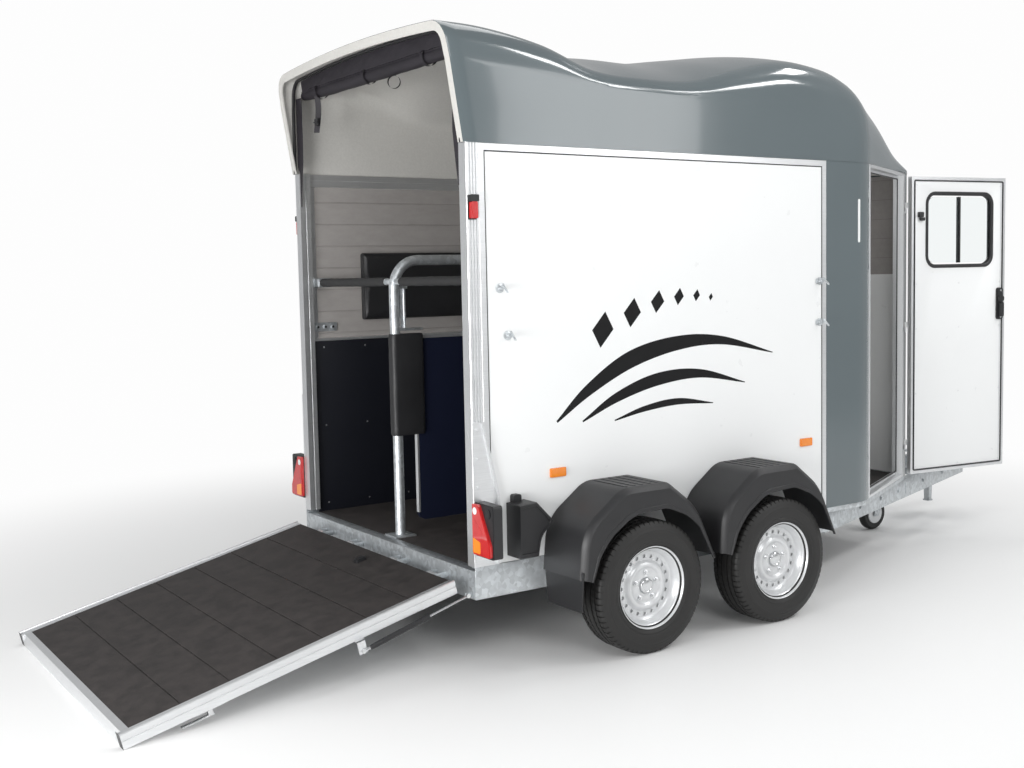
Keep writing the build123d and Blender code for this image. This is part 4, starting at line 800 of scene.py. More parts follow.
class TRAILER_OT_mudguards(bpy.types.Operator):
    """Models the moulded mudguards with their ribs, shoulders, lips and rear flaps"""

    bl_idname = "trailer.mudguards"
    bl_label = "Mudguards"

    def guard(self, bm, axle_x, axle_z, side):
        """One arch."""
        corners = [(x, z) for x, z, _ in GUARD_ARCH]
        arch = rounded(corners, [radius for _, _, radius in GUARD_ARCH], 8)
        rows = []
        for i, point in enumerate(arch):
            along = (arch[min(i + 1, len(arch) - 1)] - arch[max(i - 1, 0)]).normalized()
            inward = Vector((along.y, -along.x))
            hub = Vector((0.0, axle_z))
            lip = hub + (point - hub).normalized() * min(LIP_CIRCLE, (point - hub).length - 0.03)
            skin = point + inward * GUARD_SKIN
            shoulder = point + inward * GUARD_SHOULDER
            lip_in = lip.lerp(hub, 0.004)
            flange = lip.lerp(shoulder, 0.22)
            section = [(point, GUARD_INNER), (point, GUARD_OUTER - 0.036), (point + inward * 0.002,
                GUARD_OUTER - 0.028), (point + inward * 0.018, GUARD_OUTER - 0.009),
                       (shoulder, GUARD_OUTER - 0.004), (flange, GUARD_OUTER - 0.003),
                       (flange.lerp(lip, 0.12), GUARD_OUTER), (lip, GUARD_OUTER),
                       (lip_in, GUARD_OUTER - 0.002), (lip_in, GUARD_OUTER - 0.008),
                       (shoulder, GUARD_OUTER - 0.009), (skin, GUARD_OUTER - 0.034), (skin, GUARD_INNER)]
            rows.append([bm.verts.new((axle_x + p.x, side * y, p.y)) for p, y in section])
        join_rows(bm, rows, closed=True, caps=True)
        for rib in GUARD_RIBS:
            outline = box_outline(GUARD_INNER + 0.012, GUARD_OUTER - 0.045, -0.0085, 0.0085, 0.006, 3)
            slab(bm, outline, lambda u, v, h: Vector((axle_x + rib + 0.01 + v, side * u, h)), 0.746, 0.7505)

    def execute(self, context):
        for side_name, side in SIDES.items():
            bm = bmesh.new()
            for axle in ("front", "rear"):
                low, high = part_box(f"tyre_{axle}_{side_name}")
                self.guard(bm, (low.x + high.x) / 2, (low.z + high.z) / 2, side)
            rear_x = (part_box(f"tyre_rear_{side_name}")[0].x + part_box(f"tyre_rear_{side_name}")[1].x) / 2
            flap = rounded([(side * (GUARD_INNER + 0.002), 0.42), (side * (GUARD_OUTER - 0.012), 0.42),
                            (side * (GUARD_OUTER - 0.026), FLAP_BOTTOM), (side * (GUARD_INNER + 0.02),
                FLAP_BOTTOM)], 0.008, 3, closed=True)
            slab(bm, flap, on_x, rear_x - 0.386, rear_x - 0.381)
            new_piece(f"mudguards_moulded_{side_name}", bm, "black_plastic",
                      replaces=[f"mudguards_{side_name}"], smooth=32)
        return {"FINISHED"}


# Ramp: its own axes are u from the hinge pin to the tip, v to the left, w out of the walking face

RAMP_LENGTH = 1.467
RAMP_HALF = 0.796
RAMP_HALF_T = 0.026
RAMP_RAIL = 0.046
RAMP_PIN_HEIGHT = 0.368
MAT_FIELDS = 7
MAT_GROOVE = 0.0022
KNUCKLES = (0.22, 0.56)
LOCK_ALONG = 1.13
SPRING_EYE = (0.5, -0.07)
SPRING_BASE = (-0.023, 0.325)


def ramp_matrix():
    """Turns ramp coordinates into the frame's."""
    pin = Vector((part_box("ramp_hinges")[0].x + 0.012, 0, RAMP_PIN_HEIGHT))
    reach = math.hypot(RAMP_LENGTH, RAMP_HALF_T)
    slope = math.asin(RAMP_PIN_HEIGHT / reach) - math.atan2(RAMP_HALF_T, RAMP_LENGTH)
    along = Vector((-math.cos(slope), 0, -math.sin(slope)))
    across = Vector((0, 1, 0))
    out = Vector((-math.sin(slope), 0, math.cos(slope)))
    return Matrix.Translation(pin) @ Matrix((along, across, out)).transposed().to_4x4()


class TRAILER_OT_ramp(bpy.types.Operator):
    """Models the ramp's extruded rails, its ribbed mat, its locks and its gas springs"""

    bl_idname = "trailer.ramp"
    bl_label = "Ramp"

    def rail_profile(self):
        """Section of an edge rail (w, outward) with its groove and its standing lip."""
        return [(-0.026, 0.0), (-0.026, 0.044), (-0.014, 0.046), (0.004, 0.046), (0.006, 0.042),
                (0.012, 0.042), (0.014, 0.046), (0.03, 0.046), (0.034, 0.042), (0.034, 0.036),
                (0.029, 0.034), (0.026, 0.03), (0.026, 0.0)]

    def execute(self, context):
        matrix = ramp_matrix()
        bm = bmesh.new()
        inner = RAMP_HALF - RAMP_RAIL
        for side in SIDES.values():
            outline = [(side * (inner + out), w) for w, out in self.rail_profile()]
            slab(bm, outline, on_x, 0.024, RAMP_LENGTH)
        slab(bm, [(0.0, -0.026), (0.046, -0.026), (0.046, -0.01), (0.03, 0.026), (0.0, 0.026)],
             lambda u, v, h: Vector((RAMP_LENGTH - RAMP_RAIL + u, h, v)), -inner, inner)
        block(bm, 0.024, RAMP_LENGTH - RAMP_RAIL, -inner, inner, -0.024, 0.016)
        for side in SIDES.values():
            for knuckle in KNUCKLES:
                near, far = side * knuckle - 0.03, side * knuckle + 0.03
                slab(bm, circle(0.013, 20), on_y, near, far)
                block(bm, 0.0, 0.026, near, far, -0.012, 0.0)
            eye = sorted((side * (RAMP_HALF + 0.0097), side * (RAMP_HALF + 0.0147)))
            block(bm, 0.482, 0.518, eye[0], eye[1], -0.082, -0.026)
            seat = sorted((side * (RAMP_HALF - 0.006), side * (RAMP_HALF + 0.0147)))
            block(bm, 0.482, 0.518, seat[0], seat[1], -0.03, -0.026)
        bm.transform(matrix)
        bmesh.ops.recalc_face_normals(bm, faces=bm.faces)
        body = node_body("ramp_frame")
        new_piece("ramp_rails", bm, "frame_alu", replaces=["ramp_frame"], smooth=25, body=body)
        self.mat(matrix, body)
        self.small_parts(matrix, body)
        self.springs(matrix)
        return {"FINISHED"}

    def mat(self, matrix, body):
        """Seven fields of ribbed rubber with dark joints between them."""
        bm = bmesh.new()
        half = RAMP_HALF - RAMP_RAIL - 0.001
        start, end = 0.025, RAMP_LENGTH - RAMP_RAIL - 0.001
        field = (end - start) / MAT_FIELDS
        block(bm, start, end, -half, half, 0.0202, 0.0215)
        for number in range(MAT_FIELDS):
            low = start + field * number + (MAT_GROOVE if number else 0.0)
            high = start + field * (number + 1) - (MAT_GROOVE if number < MAT_FIELDS - 1 else 0.0)
            section = [(low, 0.0212), (low, 0.0242), (low + 0.0012, 0.025), (high - 0.0012, 0.025),
                       (high, 0.0242), (high, 0.0212)]
            slab(bm, section, on_y, -half, half)
        bm.transform(matrix)
        new_piece("ramp_mat_ribbed", bm, "floor_rubber", replaces=["ramp_mat"], smooth=20, body=body)

    def small_parts(self, matrix, body):
        """Lock levers under the rails, end caps at the tip and a rubber buffer."""
        bm = bmesh.new()
        for side in SIDES.values():
            v = side * (RAMP_HALF - 0.03)
            block(bm, 1.07, 1.19, v - 0.022, v + 0.022, -0.031, -0.026)
            slab(bm, disc(LOCK_ALONG, v, 0.013, 20), on_z, -0.054, -0.031)
            lever = rounded([(1.118, v, -0.056), (1.17, v, -0.057), (1.248, v + side * 0.004, -0.054)],
                            0.02, 4)
            sweep(bm, lever, box_outline(-0.009, 0.009, -0.0035, 0.0035, 0.003, 3), side=(0, 1, 0))
            for u in (1.082, 1.178):
                slab(bm, disc(u, v, 0.006, 6), on_z, -0.036, -0.031)
        bm.transform(matrix)
        new_piece("ramp_locks", bm, "bright_zinc", smooth=35, body=body)
        bm = bmesh.new()
        for side in SIDES.values():
            edge = sorted((side * (RAMP_HALF - 0.046), side * (RAMP_HALF + 0.0002)))
            block(bm, RAMP_LENGTH - 0.0006, RAMP_LENGTH + 0.0004, edge[0], edge[1], -0.0255, 0.0335)
        centre = Vector((0.12, -0.11))
        buffer = box_outline(0.092, 0.148, -0.13, -0.09, 0.01)
        for low, high, size in ((0.024, 0.034, 1.0), (0.034, 0.04, 0.85)):
            slab(bm, [centre + (point - centre) * size for point in buffer], on_z, low, high)
        bm.transform(matrix)
        new_piece("ramp_buffers", bm, "black_plastic", smooth=35, body=body)

    def springs(self, matrix):
        """Gas springs: a slim rod from the sill and the black barrel at the ramp's eye."""
        for side_name, side in SIDES.items():
            y = side * (RAMP_HALF + 0.02)
            base = Vector((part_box("chassis_frame")[0].x + SPRING_BASE[0], y, SPRING_BASE[1]))
            eye = matrix @ Vector((SPRING_EYE[0], y, SPRING_EYE[1]))
            line = (eye - base).normalized()
            length = (eye - base).length
            bm = bmesh.new()
            slab(bm, disc(base.x, base.z, 0.0098, 24), on_y, y - 0.0058, y + 0.0058)
            tube(bm, [base + line * 0.008, base + line * 0.03], 0.0055, 16)
            tube(bm, [base + line * 0.029, base + line * 0.33], 0.0048, 16)
            new_piece(f"spring_rod_bright_{side_name}", bm, "bright_zinc",
                      [f"gas_cylinder_{side_name}"], smooth=35, body=node_body(f"gas_cylinder_{side_name}"))
            bm = bmesh.new()
            slab(bm, disc(eye.x, eye.z, 0.0098, 24), on_y, y - 0.0048, y + 0.0048, 1)
            tube(bm, [base + line * (length - 0.03), base + line * (length - 0.008)], 0.006, 16, finish=1)
            profile = [(0.007, 0.196), (0.0098, 0.199), (0.0106, 0.204), (0.0106, length - 0.04),
                       (0.0085, length - 0.032), (0.007, length - 0.029)]
            turn = line.to_track_quat("Z", "Y").to_matrix()
            lathe(bm, profile, lambda u, v, h: base + turn @ Vector((u, v, h)), 28)
            new_piece(f"spring_barrel_{side_name}", bm, "black_plastic", replaces=[f"gas_rod_{side_name}"],
                      smooth=35, body=node_body(f"gas_rod_{side_name}"), more=["bright_zinc"])


# Tail lamps: outlines run outwards from the brace and up

LAMP_LENS = [(0.003, 0.509), (0.138, 0.509), (0.136, 0.56), (0.052, 0.721), (0.003, 0.721)]
LAMP_AMBER = [(0.01, 0.517), (0.066, 0.517), (0.066, 0.566), (0.01, 0.58)]
LAMP_TRIANGLE = [(0.014, 0.6), (0.092, 0.6), (0.014, 0.664)]
LAMP_HOUSING = [(0.0, 0.501), (0.147, 0.501), (0.147, 0.724), (0.0, 0.725)]
LAMP_FACE = [(0.004, 0.505), (0.143, 0.505), (0.143, 0.72), (0.004, 0.721)]
LAMP_SOCKET = (0.108, 0.688)
LAMP_REFLECTOR = (0.027, 0.692)


class TRAILER_OT_lamps(bpy.types.Operator):
    """Models the tail lamps with their lenses, reflectors and housings"""

    bl_idname = "trailer.lamps"
    bl_label = "Lamps"

    def execute(self, context):
        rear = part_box("chassis_frame")[0].x
        for side_name, side in SIDES.items():
            y = BODY_HALF + 0.0055

            def field(bm, outline, near, far, finish=0):
                """A block of the lamp, with its outline measured outwards from the brace."""
                slab(bm, [(side * (y + u), v) for u, v in outline], on_x, rear - far, rear - near, finish)

            bm = bmesh.new()
            field(bm, rounded(LAMP_HOUSING, 0.012, 4, closed=True), -0.041, 0.002)
            field(bm, rounded(LAMP_FACE, 0.01, 4, closed=True), 0.002, 0.0038)
            field(bm, disc(*LAMP_SOCKET, 0.02, 28), 0.0036, 0.0075)
            field(bm, disc(*LAMP_SOCKET, 0.015, 28), 0.007, 0.0085, 1)
            new_piece(f"lamp_housing_{side_name}", bm, "black_plastic", smooth=30, more=["bar_foam"])
            bm = bmesh.new()
            lens = rounded(LAMP_LENS, 0.01, 5, closed=True)
            field(bm, lens, 0.003, 0.015)
            centre = Vector((0.055, 0.6))
            field(bm, [centre + (point - centre) * 0.93 for point in lens], 0.015, 0.0172)
            field(bm, rounded(LAMP_AMBER, 0.006, 4, closed=True), 0.0168, 0.018, 1)
            field(bm, disc(*LAMP_REFLECTOR, 0.015, 28), 0.0168, 0.018, 2)
            field(bm, rounded(LAMP_TRIANGLE, 0.006, 4, closed=True), 0.0168, 0.0179)
            new_piece(f"lamp_lens_{side_name}", bm, "red_lens", replaces=["tail_lamps"] if side > 0 else [],
                      smooth=30, more=["amber_lens", "white_lens"])
        return {"FINISHED"}


# Wheel chock

class TRAILER_OT_chock(bpy.types.Operator):
    """Models the wheel chock in its holder"""

    bl_idname = "trailer.chock"
    bl_label = "Wheel chock"

    def execute(self, context):
        bm = bmesh.new()
        wall = BODY_HALF - 0.0027
        back = [(-0.974, 0.474), (-0.974, 0.7), (-0.885, 0.705), (-0.802, 0.62)]
        cut = rounded([(-0.806, 0.606), (-0.866, 0.56), (-0.88, 0.474)], [0.0, 0.16, 0.0], 8)
        outline = [Vector((MID_X + x, z)) for x, z in [*back, *cut]]
        middle = Vector((MID_X - 0.905, 0.6))
        rows = []
        for depth, shrink in ((0.0, 0.985), (0.003, 1.0), (0.099, 1.0), (0.104, 0.975), (0.104, 0.86),
                              (0.098, 0.84)):
            rows.append([bm.verts.new((p.x, -(wall + depth), p.y)) for p in
                         (middle + (point - middle) * shrink for point in outline)])
        join_rows(bm, rows, closed=True, caps=True)
        for rib in range(5):
            z = 0.5 + rib * 0.036
            slab(bm, box_outline(MID_X - 0.97, MID_X - 0.9735, z, z + 0.012), on_y, -(wall + 0.012),
                 -(wall + 0.092))
        clip = box_outline(MID_X - 0.954, MID_X - 0.914, 0.69, 0.734, 0.01)
        slab(bm, clip, on_y, -(wall + 0.001), -(wall + 0.029))
        new_piece("chock_moulded", bm, "black_plastic", replaces=["wheel_chock"], smooth=30)
        return {"FINISHED"}


# Wheels

# columns: distance from the wheel's middle plane, radius, kind (0 plain, 1 shoulder blocks, 2 sipes)
TYRE_HALF = [
    (0.07, 0.17, 0), (0.0735, 0.179, 0), (0.079, 0.185, 0), (0.0832, 0.19, 0), (0.0862, 0.1955, 0),
    (0.088, 0.1985, 0), (0.0884, 0.203, 0), (0.0872, 0.2045, 0), (0.0888, 0.209, 0), (0.0906, 0.216, 0),
    (0.0914, 0.224, 0), (0.0918, 0.234, 0), (0.0914, 0.244, 0), (0.092, 0.245, 0), (0.0904, 0.254, 0),
    (0.0896, 0.255, 0), (0.0874, 0.264, 0), (0.0846, 0.272, 0), (0.0815, 0.2785, 0), (0.079, 0.283, 1),
    (0.0768, 0.2868, 1), (0.0735, 0.29, 1), (0.068, 0.2925, 1), (0.06, 0.2935, 1), (0.05, 0.2938, 1),
    (0.049, 0.2865, 0), (0.043, 0.2865, 0), (0.042, 0.294, 2), (0.032, 0.2942, 2), (0.0215, 0.2943, 2),
    (0.0205, 0.287, 0), (0.014, 0.287, 0), (0.013, 0.2945, 0), (0.0, 0.2945, 0),
]
TREAD_PITCHES = 66
# columns: share of one pitch, cut of the shoulder blocks, cut of the sipes
PITCH = [(0.0, 1.0, 0.0), (0.16, 1.0, 0.0), (0.19, 0.0, 0.0), (0.52, 0.0, 1.0), (0.58, 0.0, 1.0),
         (0.97, 0.0, 0.0)]
# columns: radius and place outwards of the wheel's face, from the rolled edge to the hub
RIM_FACE = [
    (0.179, 0.07), (0.1815, 0.077), (0.1818, 0.0805), (0.1795, 0.081), (0.1765, 0.078), (0.1745, 0.07),
    (0.1725, 0.066), (0.168, 0.063), (0.164, 0.059), (0.1625, 0.052), (0.16, 0.04), (0.156, 0.033),
    (0.15, 0.027), (0.144, 0.0235), (0.14, 0.0225),
]
RIM_HAT = [
    (0.116, 0.024), (0.112, 0.0265), (0.108, 0.031), (0.103, 0.037), (0.097, 0.0405), (0.089, 0.041),
    (0.083, 0.0385), (0.079, 0.034), (0.076, 0.032), (0.046, 0.032), (0.044, 0.034), (0.04, 0.0345),
    (0.036, 0.033),
]
RIM_BACK = [
    (0.179, 0.07), (0.166, 0.06), (0.152, 0.03), (0.148, 0.0), (0.156, -0.05), (0.17, -0.064),
    (0.179, -0.079), (0.174, -0.08), (0.164, -0.065), (0.142, -0.045), (0.142, 0.015), (0.042, 0.015),
    (0.042, 0.026), (0.0355, 0.033),
]
HUB_CAP = [(0.035, 0.032), (0.035, 0.04), (0.033, 0.044), (0.029, 0.0462), (0.024, 0.0468),
           (0.0225, 0.0455), (0.015, 0.047), (0.006, 0.0478)]
RIM_STEPS = 80
VENTS = 20
STUDS = 5
STUD_CIRCLE = 0.06


class TRAILER_OT_wheels(bpy.types.Operator):
    """Models the treaded tyres, the vented silver rims, their hub caps and bolts"""

    bl_idname = "trailer.wheels"
    bl_label = "Wheels"

    def tyre(self, bm, place):
        """One tyre with grooves round it and cuts across it."""
        section = TYRE_HALF + [(-y, r, kind) for y, r, kind in reversed(TYRE_HALF[:-1])]
        rows = []
        for y, radius, kind in section:
            row = []
            for pitch in range(TREAD_PITCHES):
                for share, shoulder, sipe in PITCH:
                    cut = (0.0, 0.0048 * shoulder, 0.0022 * sipe)[kind]
                    angle = math.tau * (pitch + share + (0.5 if y < 0 else 0.0)) / TREAD_PITCHES
                    out = radius - cut
                    row.append(bm.verts.new(place(out * math.cos(angle), out * math.sin(angle), y)))
            rows.append(row)
        join_rows(bm, [*rows, rows[0]], closed=True)

    def vents(self, bm, place):
        """The ring of round holes near the rim, with the wall of each."""
        step = math.tau / VENTS
        low, high, middle = 0.116, 0.14, 0.128
        for vent in range(VENTS):
            centre = step * vent
            border = []
            for u, v in ((-1, -1), (-0.33, -1), (0.33, -1), (1, -1), (1, -0.33), (1, 0.33), (1, 1), (0.33, 1),
                         (-0.33, 1), (-1, 1), (-1, 0.33), (-1, -0.33)):
                border.append((centre + u * step / 2, middle + v * (high - low) / 2))
            rows = [[], [], [], []]
            for angle, radius in border:
                lift = 0.0225 + (high - radius) / (high - low) * 0.0015
                rows[0].append((radius * math.cos(angle), radius * math.sin(angle), lift))
                away = Vector(((angle - centre) * middle, radius - middle)).normalized()
                for row, size, height in ((1, 0.0092, 0.0234), (2, 0.008, 0.022), (3, 0.0078, 0.018)):
                    hole = middle + away.y * size
                    turn = centre + away.x * size / middle
                    rows[row].append((hole * math.cos(turn), hole * math.sin(turn), height))
            made = [[bm.verts.new(place(*point)) for point in row] for row in rows]
            join_rows(bm, made, closed=True)

    def execute(self, context):
        for side_name, side in SIDES.items():
            for axle in ("front", "rear"):
                low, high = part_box(f"tyre_{axle}_{side_name}")
                centre = (low + high) / 2

                def place(u, v, height, centre=centre, side=side):
                    return centre + Vector((u, side * height, v))

                body = node_body(f"rim_{axle}_{side_name}")
                bm = bmesh.new()
                self.tyre(bm, place)
                new_piece(f"tyre_treaded_{axle}_{side_name}", bm, "tyre_rubber",
                          replaces=[f"tyre_{axle}_{side_name}"], smooth=28, body=body)
                bm = bmesh.new()
                for profile in (RIM_FACE, RIM_HAT, RIM_BACK):
                    join_rows(bm, turned(bm, profile, place, RIM_STEPS), closed=True)
                self.vents(bm, place)
                cap = turned(bm, HUB_CAP, place, 32)
                join_rows(bm, cap, closed=True, finish=1)
                bm.faces.new(cap[-1]).material_index = 1
                axis = Vector((0, side, 0))
                for stud in range(STUDS):
                    angle = math.tau * (stud + 0.25) / STUDS
                    point = place(STUD_CIRCLE * math.cos(angle), STUD_CIRCLE * math.sin(angle), 0.0322)
                    bolt(bm, point, axis, 0.0085, 0.011, 1)
                bmesh.ops.remove_doubles(bm, verts=bm.verts, dist=2e-5)
                new_piece(f"rim_pressed_{axle}_{side_name}", bm, "wheel_silver",
                          replaces=[f"rim_{axle}_{side_name}"], smooth=40, body=body, more=["bright_zinc"])
        return {"FINISHED"}


# Side walls: extruded frame, dark gasket, coated panel with grey boards inside

REAR_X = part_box("rear_frame")[0].x
WALL_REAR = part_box("wall_frame_left")[0].x
WALL_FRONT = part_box("wall_frame_left")[1].x
WALL_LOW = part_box("wall_frame_left")[0].z
WALL_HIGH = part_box("wall_frame_left")[1].z
INSIDE_HALF = BODY_HALF - 0.025
BOARD = 0.1145
# columns: distance from the frame's outer edge, distance out of the wall's face
FRAME_SECTION = [(0.0, -0.025), (0.0, -0.0012), (0.0012, 0.0), (0.028, 0.0), (0.0294, -0.001),
                 (0.0296, -0.004), (0.034, -0.004), (0.034, -0.025)]
GASKET_SECTION = [(0.0296, -0.0038), (0.03, -0.0012), (0.033, -0.001), (0.0346, -0.0026), (0.0346, -0.0042)]
# columns: points along a ribbon (place from the axles' middle, height) and its width there
RIBBONS = [
    [(-0.7, 1.02, 0.01), (-0.52, 1.15, 0.052), (-0.28, 1.27, 0.078), (0.0, 1.33, 0.066),
     (0.28, 1.33, 0.04), (0.62, 1.255, 0.004)],
    [(-0.56, 1.01, 0.008), (-0.36, 1.105, 0.044), (-0.12, 1.17, 0.058), (0.14, 1.18, 0.04),
     (0.43, 1.12, 0.004)],
    [(-0.38, 1.0, 0.006), (-0.2, 1.04, 0.026), (0.0, 1.058, 0.03), (0.22, 1.035, 0.004)],
]
# columns: place from the axles' middle, height, half length, half height of a diamond
DIAMONDS = [(-0.44, 1.41, 0.06, 0.08), (-0.27, 1.48, 0.05, 0.066), (-0.12, 1.525, 0.04, 0.052),
            (0.01, 1.545, 0.03, 0.04), (0.12, 1.548, 0.021, 0.028), (0.21, 1.538, 0.013, 0.018)]


class TRAILER_OT_walls(bpy.types.Operator):
    """Models the side walls with frames, gaskets, boards and their black ribbon design"""

    bl_idname = "trailer.walls"
    bl_label = "Side walls"

    def framed(self, bm, side, section, foot):
        """Carries a section up the rear edge, along the top and down the front edge of a wall."""
        rows = []
        for inset, out in section:
            path = [(WALL_REAR + inset, foot), (WALL_REAR + inset, WALL_HIGH - inset),
                    (WALL_FRONT - inset, WALL_HIGH - inset), (WALL_FRONT - inset, foot)]
            rows.append([bm.verts.new((x, side * (BODY_HALF + out), z)) for x, z in path])
        by_place = list(map(list, zip(*rows)))
        join_rows(bm, by_place, closed=True, caps=True)

    def curve(self, points, steps=16):
        """Smooth points (place, height, width) through a ribbon's table."""
        table = [(float(index), *point) for index, point in enumerate(points)]
        count = (len(points) - 1) * steps
        return [between_stations(table, index / steps) for index in range(count)] + [list(points[-1])]

    def design(self, bm, side):
        """Tapering ribbons and a rising row of diamonds, just proud of the panel."""
        face = BODY_HALF - 0.003
        for ribbon in RIBBONS:
            line = self.curve(ribbon)
            rows = []
            for i, (x, z, width) in enumerate(line):
                back, ahead = line[max(i - 1, 0)], line[min(i + 1, len(line) - 1)]
                along = Vector((ahead[0] - back[0], ahead[1] - back[1])).normalized()
                off = Vector((-along.y, along.x)) * max(width, 0.002) / 2
                ends = [(x + off.x, z + off.y), (x - off.x, z - off.y)]
                rows.append([bm.verts.new((MID_X + u, side * (face + d), v))
                             for (u, v), d in ((ends[0], 0.0001), (ends[0], 0.0004), (ends[1], 0.0004),
                                               (ends[1], 0.0001))])
            join_rows(bm, rows, closed=True, caps=True)
        for x, z, half, tall in DIAMONDS:
            outline = [(MID_X + x - half, z), (MID_X + x + half * 0.25, z + tall), (MID_X + x + half, z),
                       (MID_X + x - half * 0.25, z - tall)]
            slab(bm, outline, on_y, side * (face + 0.0001), side * (face + 0.0004))

    def execute(self, context):
        for side_name, side in SIDES.items():
            bm = bmesh.new()
            self.framed(bm, side, FRAME_SECTION, WALL_LOW)
            new_piece(f"wall_frame_extruded_{side_name}", bm, "frame_alu",
                      replaces=[f"wall_frame_{side_name}"], smooth=30)
            bm = bmesh.new()
            self.framed(bm, side, GASKET_SECTION, WALL_LOW + 0.003)
            new_piece(f"panel_gasket_{side_name}", bm, "black_plastic", smooth=30)
            bm = bmesh.new()
            low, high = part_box(f"side_wall_{side_name}")
            outline = [(side * (BODY_HALF - 0.003), low.z), (side * (BODY_HALF - 0.003), high.z),
                       (side * INSIDE_HALF, high.z)]
            board = 2.057
            while board > low.z + 0.02:
                outline += [(side * INSIDE_HALF, board + 0.0012), (side * (INSIDE_HALF + 0.0015), board),
                            (side * INSIDE_HALF, board - 0.0012)]
                board -= BOARD
            outline.append((side * INSIDE_HALF, low.z))
            slab(bm, outline, on_x, low.x, high.x)
            bmesh.ops.recalc_face_normals(bm, faces=bm.faces)
            for face in bm.faces:
                face.material_index = 1 if side * face.normal.y < -0.2 else 0
            new_piece(f"side_wall_boarded_{side_name}", bm, "white_panel",
                             replaces=[f"side_wall_{side_name}"], smooth=20, more=["lining"])
            bm = bmesh.new()
            self.design(bm, side)
            new_piece(f"ribbon_design_{side_name}", bm, "black_film", smooth=30)
        return {"FINISHED"}


# columns: place from the axles' middle, height
REFLECTORS = [(-0.702, 0.801), (0.853, 0.787)]
TIE_RINGS = [(-0.984, 1.606), (-0.949, 1.407)]
WALL_CATCHES = [(0.957, 1.598), (0.957, 1.391)]


class TRAILER_OT_fittings(bpy.types.Operator):
    """Models the reflectors, post markers and tie rings"""

    bl_idname = "trailer.fittings"
    bl_label = "Wall fittings"

    def reflector(self, bm, x, z, side):
        """A rimmed amber reflector."""
        face = BODY_HALF - 0.0026
        for grow, low, high in ((0.0, 0.0, 0.007), (-0.004, 0.006, 0.0088)):
            outline = box_outline(x - 0.042 - grow, x + 0.042 + grow, z - 0.02 - grow, z + 0.02 + grow,
                                  0.005, 4)
            slab(bm, outline, on_y, side * (face + low), side * (face + high))

    def ring(self, bm, x, z, side):
        """A round plate with an eye bolt standing out of it."""
        def place(u, v, height):
            return Vector((x + u, side * (BODY_HALF - 0.0025 + height), z + v))

        lathe(bm, [(0.02, 0.0), (0.02, 0.003), (0.017, 0.005), (0.01, 0.006), (0.008, 0.01), (0.008, 0.024)],
              place, 24)
        path = [place(0.0, 0.017 * math.cos(turn), 0.042 - 0.017 * math.sin(turn + 1.57))
                for turn in (math.tau * i / 24 for i in range(25))]
        sweep(bm, path, circle(0.0048, 10), caps=False)

    def execute(self, context):
        bm = bmesh.new()
        for side in SIDES.values():
            for x, z in REFLECTORS:
                self.reflector(bm, MID_X + x, z, side)
        new_piece("side_reflectors", bm, "amber_lens", replaces=["marker_lamps"], smooth=25)
        bm = bmesh.new()
        x0 = REAR_X + 0.004
        for side in SIDES.values():
            outline = box_outline(x0 + 0.004, x0 + 0.036, 1.893, 1.962, 0.006, 4)
            on_wall(bm, side, outline, 0.002, 0.023)
            cap = box_outline(x0, x0 + 0.04, 1.962, 1.99, 0.004, 3)
            on_wall(bm, side, cap, 0.0005, 0.026, 1)
            back = box_outline(x0, x0 + 0.04, 1.889, 1.975, 0.004, 3)
            on_wall(bm, side, back, 0.0005, 0.004, 1)
        new_piece("post_markers", bm, "red_lens", smooth=25, more=["black_plastic"])
        bm = bmesh.new()
        for side in SIDES.values():
            for x, z in TIE_RINGS:
                self.ring(bm, MID_X + x, z, side)
            for x, z in WALL_CATCHES:
                self.ring(bm, MID_X + x, z, side)
                outline = box_outline(MID_X + x - 0.03, MID_X + x + 0.014, z - 0.014, z + 0.014, 0.006, 3)
                on_wall(bm, side, outline, -0.0002, 0.004)
        new_piece("tie_rings", bm, "galvanised", smooth=35)
        return {"FINISHED"}


# Rear frame: ribbed posts, corner braces and their bolts

# columns: place from the posts' rear face, height
BRACE_BOLTS = [(0.022, 1.02), (0.022, 0.9), (0.022, 0.78), (0.07, 0.7), (0.07, 0.56), (0.07, 0.47)]
BRACE_TOP = 1.056


